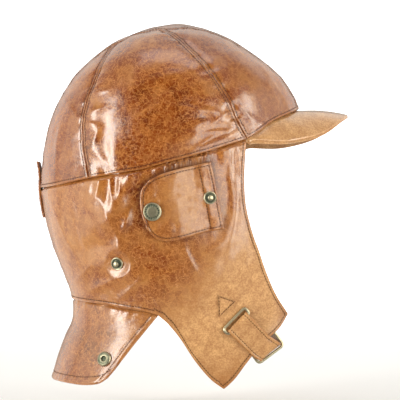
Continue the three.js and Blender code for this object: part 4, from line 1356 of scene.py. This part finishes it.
def side_panel(side):
    """Ear, cheek and chin in one, gathered at its top with painted shade in the gathers, and with a painted
    shadow round the ear cover.
    """
    heights = np.linspace(BACK_HEIGHTS["band"], BACK_HEIGHTS["neck_seam"], 5)
    back = HEAD.seat(np.array([(HEAD.section(z)[0], 0, z) for z in heights]))
    outline = {
        "top": trace((np.vstack([back[:1], HEAD.side(BAND_REAR)]), 6), (HEAD.side(BAND_FRONT), 16)),
        "bottom": trace((np.vstack([back[-1:], HEAD.side(NECK_SEAM)[::-1]]), 7),
                        (HEAD.side(TAB_REAR)[::-1], 7), (HEAD.side(CHIN_EDGE)[::-1], 8)),
        "left": trace((back, 13)),
        "right": trace((HEAD.side(FACE_EDGE), 13)),
    }
    edges = {"top": TUCKED, "bottom": TURNED, "left": SEAM, "right": TURNED}
    panel = Panel(HEAD, outline, edges, step=1.35)
    cover = np.vstack([line[::6, ::2] for line in cover_outline().values()])
    x, _, z = np.moveaxis(panel.base, -1, 0)
    # where the gathers below the band get painted shade in their hollows
    under_seam = np.exp(-(panel.distance["top"] / GATHER_SHOWN) ** 2)
    panel.gathered = under_seam * ease((x - GATHER_FROM) / 8) * ease((GATHER_TO - x) / 12)
    # the painted shadow is strongest above and behind the cover and weaker below and in front of it
    strength = np.clip(0.5 + (z + 155 - 0.6 * (x - 5)) / 60, 0.15, 1)
    panel.shaded = strength * np.exp(-(closest(panel.base, cover) / SHADOW_WIDTH) ** 2)
    return panel.faces(WALL, 0, creases(panel.base, side))


def neck_flap():
    """One sheet from side to side, tucked in under the side panels."""
    def both(line, height):
        back = NECK.seat(np.array([(NECK.section(height)[0], 0, height)]))
        return np.vstack([line, back, mirrored(line)])

    front = trace((NECK.side(NECK_FRONT), 6))
    outline = {
        "top": trace((both(NECK.side(NECK_SEAM), BACK_HEIGHTS["neck_seam"]), 26)),
        "bottom": trace((both(NECK.side(NECK_HEM), BACK_HEIGHTS["hem"]), 26)),
        "left": front,
        "right": front * FLIP,
    }
    edges = {"top": TUCKED, "bottom": HEMMED, "left": NECK_RIM, "right": NECK_RIM}
    panel = Panel(NECK, outline, edges, step=1.5, tuck_form=HEAD)
    return panel.faces(WALL, 0, creases(panel.base, "right") * 0.8)


def cover_lift(share):
    """The ear cover is flat at its hinge and stands off at its round end."""
    return LAY_GAP + COVER_WALL + COVER_STAND_OFF * np.clip(1 - share / COVER_FREE, 0, 1) ** 1.5


def cover_outline():
    """The ear cover's four sides on the head."""
    return {
        "top": trace((HEAD.side(COVER_TOP), 10)),
        "bottom": trace((HEAD.side(COVER_BOTTOM), 10)),
        "left": trace((HEAD.side(COVER_REAR), 8)),
        "right": trace((HEAD.side(COVER_FRONT), 8)),
    }


def closest(points, line):
    """Distance in side view from each point to the nearest point of a line."""
    near = np.full(points.shape[:-1], FAR)
    for x, z in line:
        near = np.minimum(near, np.hypot(points[..., 0] - x, points[..., 2] - z))
    return near


def ear_cover(side):
    """Stitched down along its hinge strip, standing off at its round end."""
    panel = Panel(HEAD, cover_outline(), dict.fromkeys(Panel.SIDES, COVER_EDGE), step=0.9)
    hinge = panel.distance["right"]
    # the hinge's stitch line gets the same painted shade
    panel.stitched = np.maximum(panel.stitched, beside(hinge, HINGE_LINE, STITCH_SHADE))
    strip = HINGE_STRIP * ease(HINGE_LINE + 1.2 - hinge) - GROOVE * beside(hinge, HINGE_LINE, GROOVE_WIDTH)
    ripples = 0.45 * BROAD_NOISE(panel.base * (1, 1, 0.3), 6.5) * ease(hinge / 14)
    grain = 0.25 * FINE_NOISE(panel.base, 4)
    tilt = COVER_TILT * ease((hinge - HINGE_LINE) / COVER_TILT_RUN)
    lift = cover_lift(np.clip(panel.across, 0, 1)[:, None] * np.ones_like(panel.down)[None])
    panel.faces(COVER_WALL, lift, strip + ripples + grain + tilt)
    panel.more_lines = [panel.line("right", HINGE_LINE, COVER_EDGE.stitches[0])]
    return panel


def triangle():
    """Stitched on three sides, with its low corner cut blunt."""
    top, front, low, blunt = (np.array(TRIANGLE[key], float) for key in ("top", "front", "low", "blunt"))
    end = low + blunt
    lines = {"top": [top, front], "bottom": [low, end], "left": [top, low], "right": [front, end]}
    outline = {side: trace((HEAD.side(line), 3)) for side, line in lines.items()}
    edges = {**dict.fromkeys(Panel.SIDES, PATCH_EDGE), "bottom": PATCH_EDGE._replace(stitches=())}
    panel = Panel(HEAD, outline, edges, step=0.7)
    return panel.faces(PATCH_WALL, LAY_GAP + PATCH_WALL, 0.12 * FINE_NOISE(panel.base, 3))


def goggle_tab():
    """Sewn down behind the head, free at its upper end."""
    size = GOGGLE_TAB
    half = size["half_width"]
    (a, b), (c, d) = (HEAD.seat([(HEAD.section(z)[0], y, z) for y in (-half, half)])
                      for z in (size["top"], size["bottom"]))
    outline = {
        "top": trace(([a, b], 4)),
        "bottom": trace(([c, d], 4)),
        "left": trace(([a, c], 8)),
        "right": trace(([b, d], 8)),
    }
    panel = Panel(HEAD, outline, dict.fromkeys(Panel.SIDES, TAB_EDGE), step=0.9)
    down = np.clip(panel.down, 0, 1)[None] * np.ones_like(panel.across)[:, None]
    lift = LAY_GAP + TAB_WALL + size["stand_off"] * np.clip(1 - down / size["free"], 0, 1) ** 2
    return panel.faces(TAB_WALL, lift, 0.15 * FINE_NOISE(panel.base, 4))


class PeakPanel(Panel):
    """The peak: a stiff sheet that springs from under the brow seam."""

    def __init__(self):
        brow = HEAD.side(BROW)
        spring = smooth(np.vstack([brow, mirrored(brow)]), 220)
        half = np.array([PEAK_HEEL, *PEAK_EDGE], float)
        edge = smooth(np.vstack([half, mirrored(half)[1:]]), 220)
        inner = spring + HEAD.normal(spring) * -WALL - UP * (SEAM_INSET + LAY_GAP)
        across = spacing(lengths(edge)[-1], 1.4)
        t = spacing(PEAK_DEPTH, 1.3)[None, :, None]
        s = across[:, None, None]
        start, end = at_share(inner, across)[:, None], at_share(edge, across)[:, None]
        grid = start * (1 - t) + end * t + UP * (PEAK_RISE * 4 * t * (1 - t) * np.sin(np.pi * s))
        self.edges = {"top": PLAIN, "bottom": PEAK_RIM, "left": PEAK_RIM, "right": PEAK_RIM}
        self.start(grid, grid_normals(grid, UP), self.measure(grid, dict.fromkeys(self.SIDES, 0)))
        self.crease = 0.3 * BROAD_NOISE(grid, 30) + 0.1 * FINE_NOISE(grid, 6)
        self.outer = grid + self.normal * (self.edge_height() + self.crease)[..., None]
        under = PEAK_WALL - 1 + rounded(self.nearest((PEAK_RIM,)))
        self.inner = grid - UP * under[..., None]


# The chin strap and its rings

FLAP_EDGE = HEAD.side([STRAP_CROSSING])[0]
FLAP_OUT = HEAD.normal(FLAP_EDGE[None])[0]
STRAP_RUN = unit(np.array([
    STRAP_SLOPE[0],
    -(STRAP_SLOPE[0] * FLAP_OUT[0] + STRAP_SLOPE[1] * FLAP_OUT[2]) / FLAP_OUT[1],
    STRAP_SLOPE[1],
]))
FACEWARD = unit(np.cross(STRAP_RUN, FLAP_OUT))
FACEWARD = FACEWARD * np.sign(FACEWARD[0])
STRAP_MID = LAY_GAP + STRAP_WALL / 2
TURN_RADIUS = WIRE / 2 + LAY_GAP + STRAP_WALL / 2


def turned(vector, axis, degrees):
    """A vector turned about an axis."""
    angle = math.radians(degrees)
    axis = unit(np.asarray(axis))
    return (vector * math.cos(angle) + np.cross(axis, vector) * math.sin(angle)
            + axis * np.dot(axis, vector) * (1 - math.cos(angle)))


DRIFTING_RUN = STRAP_RUN + FACEWARD * FOLD_DRIFT
LEANT_RUN = turned(STRAP_RUN, FLAP_OUT, FOLD_LEAN)


def on_flap(along, lift):
    """A point over the right flap along the strap's run, and the way out of the leather there."""
    point = HEAD.side([np.array(STRAP_CROSSING) + along * STRAP_RUN[::2]])
    out = HEAD.normal(point)
    return (point + out * (lift + relief(point))[:, None])[0], out[0]


def past_edge(along, lift, turn=0.0):
    """A point past the flap's edge, where the strap turns in."""
    angle = math.radians(turn)
    point = FLAP_EDGE + DRIFTING_RUN * along + FLAP_OUT * lift
    return point, FLAP_OUT * math.cos(angle) + LEANT_RUN * math.sin(angle)


def strap_stations():
    """The strap's middle line and outward directions, from its tail over the rings to the left flap."""
    stations = [(point, -out) for point, out in (on_flap(along, STRAP_MID) for along in STRAP_TAIL_RUN)]
    foot, foot_out = on_flap(RING_UPPER_BARS["low"], 0)
    for angle in np.linspace(-0.5 * np.pi, -1.5 * np.pi, 9):
        point = (foot + STRAP_RUN * TURN_RADIUS * math.cos(angle)
                 + foot_out * (STRAP_MID + TURN_RADIUS * (1 + math.sin(angle))))
        stations.append((point, STRAP_RUN * math.cos(angle) + foot_out * math.sin(angle)))
    stations += [on_flap(row.along, row.lift) for row in STRAP_OVER_ROWS]
    bend = [past_edge(row.along, row.lift, row.turn) for row in STRAP_BEND_ROWS]
    inner = bend[-1][0]
    chin_out = unit(STRAP_RUN * (1, 0, 1))
    aside = FACEWARD * 3 - STRAP_RUN * 2.5
    chin = [(inner * (1, share, 1) + aside * (1, 0, 1) - (0, 0, 2 * (1 - share)), chin_out)
            for share in (0.8, 0.45, 0)]
    left = [*chin[1::-1], *bend[::-1], on_flap(0, STRAP_MID)]
    left += [on_flap(along, STRAP_MID) for along in STRAP_SEWN_RUN]
    return stations + bend + chin + [(point * FLIP, out * FLIP) for point, out in left]


def ribbon(node, stations, width):
    """A strap through stations, each a point and the way its face looks; returns its stitch lines."""
    points, outs = (np.array(column) for column in zip(*stations))
    centres = smooth(points, 1200)
    run = lengths(centres)
    places = [run[np.argmin(np.linalg.norm(centres - point, axis=1))] for point in points]
    at = np.linspace(0, run[-1], round(run[-1] / STRAP_STEP) + 1)
    line = interpolate(at, run, centres)
    ahead = unit(np.gradient(line, axis=0))
    out = unit(interpolate(at, np.maximum.accumulate(places), outs))
    across = unit(np.cross(ahead, out))
    face = np.cross(across, ahead)
    half = np.array(STRAP_SECTION)
    section = np.vstack([half, (half * (-1, 1))[-2:0:-1]])
    aside, height = (section * (width / 2, STRAP_WALL)).T
    points = line[:, None] + across[:, None] * aside[:, None] + face[:, None] * height[:, None]
    wave = 0.12 * FINE_NOISE(points, 7) * (height > 0)
    points = points + face[:, None] * wave[..., None]
    rings, sides = points.shape[:2]
    ends = np.vstack([end_faces(rings, sides, ring) for ring in (0, -1)])
    faces = np.vstack([tube_faces(rings, sides), ends])
    beneath = section[:, 1] < STRAP_BENEATH
    picks = np.concatenate([np.tile(beneath, rings - 1), np.zeros(len(ends), bool)])
    to_rim = (1 - np.abs(section[:, 0])) * width / 2
    to_end = np.minimum(at, run[-1] - at)[:, None]
    edge = np.where(beneath, FAR, np.minimum(to_rim, to_end))
    fields = {
        "turned": edge, "sewn": np.full_like(edge, FAR), "crest": wave, "tone": tone(points, TONE_ROWS)}
    flat = points.reshape(-1, 3)
    surfaces = [material("strap_leather"), material("flesh_side")]
    piece = make(f"{node}_leather", flat, faces_out(flat, faces), surfaces, picks, fields)
    wear(piece, node)
    clear = to_end[:, 0] > STITCH_CLEAR
    inset = STRAP_STITCH * width / 2
    return [((line + across * place + face * STRAP_WALL * STRAP_STITCH_SEAT)[clear], face[clear])
            for place in (-inset, inset)]


def wire_ring(node, size, centre, along_long, along_wide):
    """A closed loop of round brass wire with rounded corners."""
    sides = 16
    corner = size["corner"]
    half_long = along_long * ((size["long"] - WIRE) / 2 - corner)
    half_wide = along_wide * ((size["wide"] - WIRE) / 2 - corner)
    middles = [centre + half_long * a + half_wide * b for a, b in ((1, 1), (-1, 1), (-1, -1), (1, -1))]
    path, outs = [], []
    for quarter, middle in enumerate(middles):
        for angle in np.linspace(quarter, quarter + 1, 9) * math.pi / 2:
            out = along_long * math.cos(angle) + along_wide * math.sin(angle)
            path.append(middle + out * corner)
            outs.append(out)
        following = middles[(quarter + 1) % 4]
        for share in (0.25, 0.5, 0.75):
            path.append(middle * (1 - share) + following * share + out * corner)
            outs.append(out)
    path, outs = np.array(path), np.array(outs)
    turn = turns(sides)
    lift = unit(np.cross(along_long, along_wide))
    radius = WIRE / 2 * (1 + 0.02 * FINE_NOISE(path, 3))[:, None, None]
    points = path[:, None] + radius * (outs[:, None] * np.cos(turn)[:, None] + lift * np.sin(turn)[:, None])
    rubbed = np.broadcast_to(0.35 + 0.4 * np.maximum(np.sin(turn), 0), points.shape[:2])
    flat = points.reshape(-1, 3)
    faces = faces_out(flat, tube_faces(len(path), sides, closed=True))
    piece = make(f"{node}_wire", flat, faces, [material("brass_wire")], fields={"rubbed": rubbed})
    wear(piece, node)


def upper_ring_frame():
    """Centre, long way and short way of the ring on the flap."""
    high, _ = on_flap(RING_UPPER_BARS["high"], LAY_GAP + WIRE / 2)
    low, out = on_flap(RING_UPPER_BARS["low"], STRAP_MID + TURN_RADIUS)
    down = unit(low - high)
    return (high + low) / 2, unit(np.cross(down, out)), down


def lower_ring_frame():
    """Centre, long way and short way of the ring past the flap's edge."""
    (in_along, in_lift), (out_along, out_lift) = RING_LOWER_BARS["inside"], RING_LOWER_BARS["outside"]
    middle, _ = past_edge((in_along + out_along) / 2, (in_lift + out_lift) / 2)
    centre = middle + FACEWARD * RING_LOWER["shift"]
    down = unit(STRAP_RUN * (out_along - in_along) + FLAP_OUT * (out_lift - in_lift))
    across = unit(np.cross(down, FLAP_OUT))
    plane = np.cross(across, down)
    return centre, turned(across, plane, FOLD_LEAN), turned(down, plane, FOLD_LEAN)


def ring_tab_stations():
    """The hidden tab's middle line, from inside the flap round the lower ring's bar."""
    centre, across, down = lower_ring_frame()
    bar = centre - down * (RING_LOWER["wide"] - WIRE) / 2
    outward = unit(FLAP_OUT - across * np.dot(FLAP_OUT, across))
    onward = np.cross(across, outward)
    onward = onward * np.sign(np.dot(onward, STRAP_RUN))
    stations = [on_flap(along, -WALL - STRAP_MID - LAY_GAP) for along in RING_TAB_RUN["sewn"]]
    for angle in np.linspace(0, np.pi, 9):
        out = outward * math.cos(angle) + onward * math.sin(angle)
        stations.append((bar + out * TURN_RADIUS, out))
    stations += [(bar - onward * rise - outward * TURN_RADIUS, -outward) for rise in RING_TAB_RUN["back"]]
    return stations


# Turned fasteners

def lathe(node, profile, dots, under, spot, side):
    """A turned brass part standing on a panel; dots is a ring of small dents in its face."""
    form = NECK if spot == "socket" else HEAD
    pair = SNAPS[spot]
    point = form.side([pair])
    out = form.normal(point)[0]
    centre = point[0] + out * (under.rise_at(pair) + LAY_GAP + relief(point))
    across = unit(np.cross(out, UP))
    up = np.cross(across, out)
    rows = smooth(profile, 44)
    sides = 96
    turn = turns(sides)
    radius, height, rubbed = (np.repeat(column[:, None], sides, axis=1) for column in rows.T)
    if dots:
        pitch = math.tau * dots.ring / dots.count
        around = np.abs((turn * dots.count / math.tau + 0.5) % 1 - 0.5) * pitch
        dent = np.exp(-(np.hypot(radius - dots.ring, around) / dots.size) ** 4) * (height > 1)
        height = height - dots.depth * dent
        rubbed = rubbed - 1.1 * dent
    points = (centre + out * height[..., None] + across * (radius * np.cos(turn))[..., None]
              + up * (radius * np.sin(turn))[..., None])
    flat = points.reshape(-1, 3)
    rings = len(rows)
    faces = faces_out(flat, np.vstack([tube_faces(rings, sides), end_faces(rings, sides, -1)]))
    fields = {"rubbed": rubbed}
    piece = make(f"{node}_{side}_brass", flat, faces, [material("aged_brass")], fields=fields, side=side)
    wear(piece, f"{node}_{side}")


# Operators, one for each group of pieces

class HELMET_OT_crown(bpy.types.Operator):
    """Make the crown's side, front and back panels and its centre strip"""

    bl_idname = "helmet.crown"
    bl_label = "Crown"

    def execute(self, context):
        for side in PAIR:
            make_leather(f"crown_side_{side}", crown_side(side), "brown_leather", side=side)
            make_leather(f"crown_front_{side}", crown_front(side), "crown_leather", side=side)
            make_leather(f"crown_back_{side}", crown_back(side), "crown_leather", side=side)
        make_leather("crown_strip", crown_strip(), "crown_leather")
        return {"FINISHED"}


class HELMET_OT_side_panels(bpy.types.Operator):
    """Make the side panels with their ear, cheek and chin parts"""

    bl_idname = "helmet.side_panels"
    bl_label = "Side Panels"

    def execute(self, context):
        for side in PAIR:
            make_leather(f"side_panel_{side}", side_panel(side), "panel_leather", side=side)
        return {"FINISHED"}


class HELMET_OT_neck_flap(bpy.types.Operator):
    """Make the neck flap"""

    bl_idname = "helmet.neck_flap"
    bl_label = "Neck Flap"

    def execute(self, context):
        make_leather("neck_flap", neck_flap(), "panel_leather")
        return {"FINISHED"}


class HELMET_OT_peak(bpy.types.Operator):
    """Make the peak"""

    bl_idname = "helmet.peak"
    bl_label = "Peak"

    def execute(self, context):
        make_leather("peak", PeakPanel(), "peak_leather", inner="peak_leather")
        return {"FINISHED"}


class HELMET_OT_ear_covers(bpy.types.Operator):
    """Make the ear covers"""

    bl_idname = "helmet.ear_covers"
    bl_label = "Ear Covers"

    def execute(self, context):
        for side in PAIR:
            make_leather(f"ear_cover_{side}", ear_cover(side), "panel_leather", side=side)
        return {"FINISHED"}


class HELMET_OT_patches(bpy.types.Operator):
    """Make the sewn-on triangles and the tab for a goggle strap"""

    bl_idname = "helmet.patches"
    bl_label = "Patches"

    def execute(self, context):
        for side in PAIR:
            make_leather(f"patch_triangle_{side}", triangle(), "patch_leather", side=side)
        make_leather("goggle_tab", goggle_tab(), "brown_leather")
        return {"FINISHED"}


class HELMET_OT_chin_strap(bpy.types.Operator):
    """Make the chin strap, its two wire rings and the tab that holds the lower one"""

    bl_idname = "helmet.chin_strap"
    bl_label = "Chin Strap"

    def execute(self, context):
        make_stitches("chin_strap", ribbon("chin_strap", strap_stations(), STRAP_WIDTH))
        ribbon("ring_tab", ring_tab_stations(), RING_TAB_WIDTH)
        wire_ring("ring_upper", RING_UPPER, *upper_ring_frame())
        wire_ring("ring_lower", RING_LOWER, *lower_ring_frame())
        return {"FINISHED"}


class HELMET_OT_snaps(bpy.types.Operator):
    """Make the snap caps, studs and sockets"""

    bl_idname = "helmet.snaps"
    bl_label = "Snap Fasteners"

    def execute(self, context):
        flap = neck_flap()
        for side in PAIR:
            cover, panel = ear_cover(side), side_panel(side)
            lathe("snap_cap", CAP_PROFILE, CAP_DOTS, cover, "cap", side)
            lathe("snap_stud_front", STUD_PROFILE, None, cover, "stud_front", side)
            lathe("snap_stud_back", STUD_PROFILE, None, panel, "stud_back", side)
            lathe("snap_socket", SOCKET_PROFILE, None, flap, "socket", side)
        return {"FINISHED"}


# The stage, in metres and watts
VIEW = (0.019, 0, -0.152)       # the middle of the picture
ROOM_RADIUS = 3.6
ROOM_TOP = 2.0
WALL_SHARE = 0.98               # the wall's radius as a share of the floor's half width
WALL_SIDES = 96
FLOOR_FADE = (0.7, 1.8)         # distances between which the floor begins to glow
FLOOR_GLOW = 0.6
WALL_GLOW = 0.7
WORLD_TINT = (1, 0.955, 0.88, 1)
WORLD_LEVELS = [(0.1, 0.01), (0.24, 0.3), (0.48, 0.35), (0.8, 1.3), (0.9, 1.2), (0.98, 0.4)]
BACKDROP = (0, 1.64, 1.158)     # where the light behind the helmet looks
LIGHT_ROWS = table("name place aim wide tall power share tint", [
    ("left_light", (-1.07, -0.95, 0), VIEW, 0.4, 1.4, "key", 2.1, (1, 0.99, 0.91)),
    ("right_light", (1.2, -0.78, 0.05), VIEW, 0.34, 1.4, "key", 1.2, (1, 0.97, 0.86)),
    ("soft_light", (0.77, -1.3, 0), VIEW, 0.52, 1.2, "soft", 1, (1, 0.96, 0.85)),
    ("left_tent", (-1.38, -0.4, 0), VIEW, 1.15, 1.7, "tent", 0.85, (1, 0.94, 0.79)),
    ("right_tent", (1.42, -0.25, 0), VIEW, 1.0, 1.7, "tent", 0.5, (1, 0.94, 0.79)),
    ("top_light", (0, -0.3, 1.35), VIEW, 1.2, 0.8, "top", 1, (1, 1, 1)),
    ("backdrop_light", (0, 0.7, 1.5), BACKDROP, 4, 0.6, "back", 1, (1, 1, 1)),
])


class HELMET_OT_stage(bpy.types.Operator):
    """Make the floor, the backdrop, the lights and the camera"""

    bl_idname = "helmet.stage"
    bl_label = "Stage"

    def execute(self, context):
        scene = context.scene
        settings = scene.helmet_stage
        self.room(settings)
        for row in LIGHT_ROWS:
            lamp = bpy.data.lights.new(row.name, "AREA")
            lamp.shape = "RECTANGLE"
            lamp.size = row.wide
            lamp.size_y = row.tall
            lamp.energy = getattr(settings, row.power) * row.share
            lamp.color = row.tint
            way = Vector(row.aim) - Vector(row.place)
            self.place(row.name, lamp, row.place, way)
        self.surroundings(scene)
        eye = bpy.data.cameras.new("camera")
        eye.lens = settings.lens
        eye.sensor_width = 36
        eye.clip_end = 50
        stand = (VIEW[0], -settings.distance, VIEW[2])
        scene.camera = self.place("camera", eye, stand, Vector((0, 1, 0)))
        scene.view_settings.view_transform = "Standard"
        return {"FINISHED"}

    @staticmethod
    def place(name, data, place, way):
        """A light or camera that looks along a way."""
        thing = bpy.data.objects.new(name, data)
        thing.location = place
        thing.rotation_euler = way.to_track_quat("-Z", "Y").to_euler()
        bpy.context.scene.collection.objects.link(thing)
        return thing

    @staticmethod
    def room(settings):
        """A pale floor and, far around it, a pale wall that gives the helmet no light."""
        floor = CAD_BOX[0].z - settings.clearance
        pale = {"Base Color": (*settings.floor, 1), "Roughness": 0.9}
        paper = Recipe(bpy.data.materials.new("paper"))
        away = paper.node("ShaderNodeVectorMath", {"operation": "LENGTH"}, {0: paper.place}, "Value")
        glow = paper.mix(away.between(*FLOOR_FADE), (0, 0, 0), (1, 1, 1))
        paper.surface({**pale, "Emission Color": glow, "Emission Strength": FLOOR_GLOW})
        lit_paper = Recipe(bpy.data.materials.new("lit_paper"))
        lit_paper.surface({**pale, "Emission Color": (1, 1, 1, 1), "Emission Strength": WALL_GLOW})
        square = [(-1, -1), (1, -1), (1, 1), (-1, 1)]
        ring = [(math.cos(turn) * WALL_SHARE, math.sin(turn) * WALL_SHARE) for turn in turns(WALL_SIDES)]
        ground = [(x * ROOM_RADIUS, y * ROOM_RADIUS, floor) for x, y in square]
        round_wall = [(x * ROOM_RADIUS, y * ROOM_RADIUS, z) for z in (floor, ROOM_TOP) for x, y in ring]
        for name, points, faces, recipe, hidden_from in (
            ("floor", ground, np.array([(0, 1, 2, 3)]), paper, ("glossy", "shadow")),
            ("wall", round_wall, tube_faces(2, WALL_SIDES), lit_paper, ("diffuse", "glossy", "shadow")),
        ):
            thing = make(name, np.array(points) / MM, faces, [recipe.owner])
            for rays in hidden_from:
                setattr(thing, f"visible_{rays}", False)

    @staticmethod
    def surroundings(scene):
        """White surroundings, darker on the side of the camera."""
        scene.world = scene.world or bpy.data.worlds.new("world")
        r = Recipe(scene.world, "Generated")
        back = r.node("ShaderNodeSeparateXYZ", {}, {0: r.place}, "Y")
        share = r.node("ShaderNodeMapRange", {}, {0: back, "From Min": -1})
        stops = [(position, (level,) * 3) for position, level in WORLD_LEVELS]
        level = r.node("ShaderNodeValToRGB", {"stops": stops, "ramp": "EASE"}, {0: share})
        glow = r.node("ShaderNodeBackground", {}, {"Color": WORLD_TINT, "Strength": level})
        r.node("ShaderNodeOutputWorld", {}, {"Surface": glow})


class HELMET_PT_panel(bpy.types.Panel):
    """Lists the helmet's operators and settings"""

    bl_label = "Motoring Helmet"
    bl_space_type = "VIEW_3D"
    bl_region_type = "UI"
    bl_category = "Helmet"

    def draw(self, context):
        for operator in OPERATORS:
            self.layout.operator(operator.bl_idname)
        for key, group in SETTINGS.items():
            box = self.layout.box()
            for name in group.__annotations__:
                box.prop(getattr(context.scene, key), name)


SETTINGS = {
    "helmet_leather": LeatherSettings,
    "helmet_stitches": StitchSettings,
    "helmet_brass": BrassSettings,
    "helmet_stage": StageSettings,
}
OPERATORS = (
    HELMET_OT_stage, HELMET_OT_crown, HELMET_OT_side_panels, HELMET_OT_neck_flap, HELMET_OT_peak,
    HELMET_OT_ear_covers, HELMET_OT_patches, HELMET_OT_chin_strap, HELMET_OT_snaps,
)


def register():
    for group in (*SETTINGS.values(), *OPERATORS, HELMET_PT_panel):
        bpy.utils.register_class(group)
    for key, group in SETTINGS.items():
        setattr(bpy.types.Scene, key, PointerProperty(type=group))


def unregister():
    for key in SETTINGS:
        delattr(bpy.types.Scene, key)
    for group in (HELMET_PT_panel, *OPERATORS[::-1], *SETTINGS.values()):
        bpy.utils.unregister_class(group)


def main():
    """Makes every piece in order."""
    register()
    for operator in OPERATORS:
        group, name = operator.bl_idname.split(".")
        getattr(getattr(bpy.ops, group), name)()


if __name__ == "__main__":
    main()
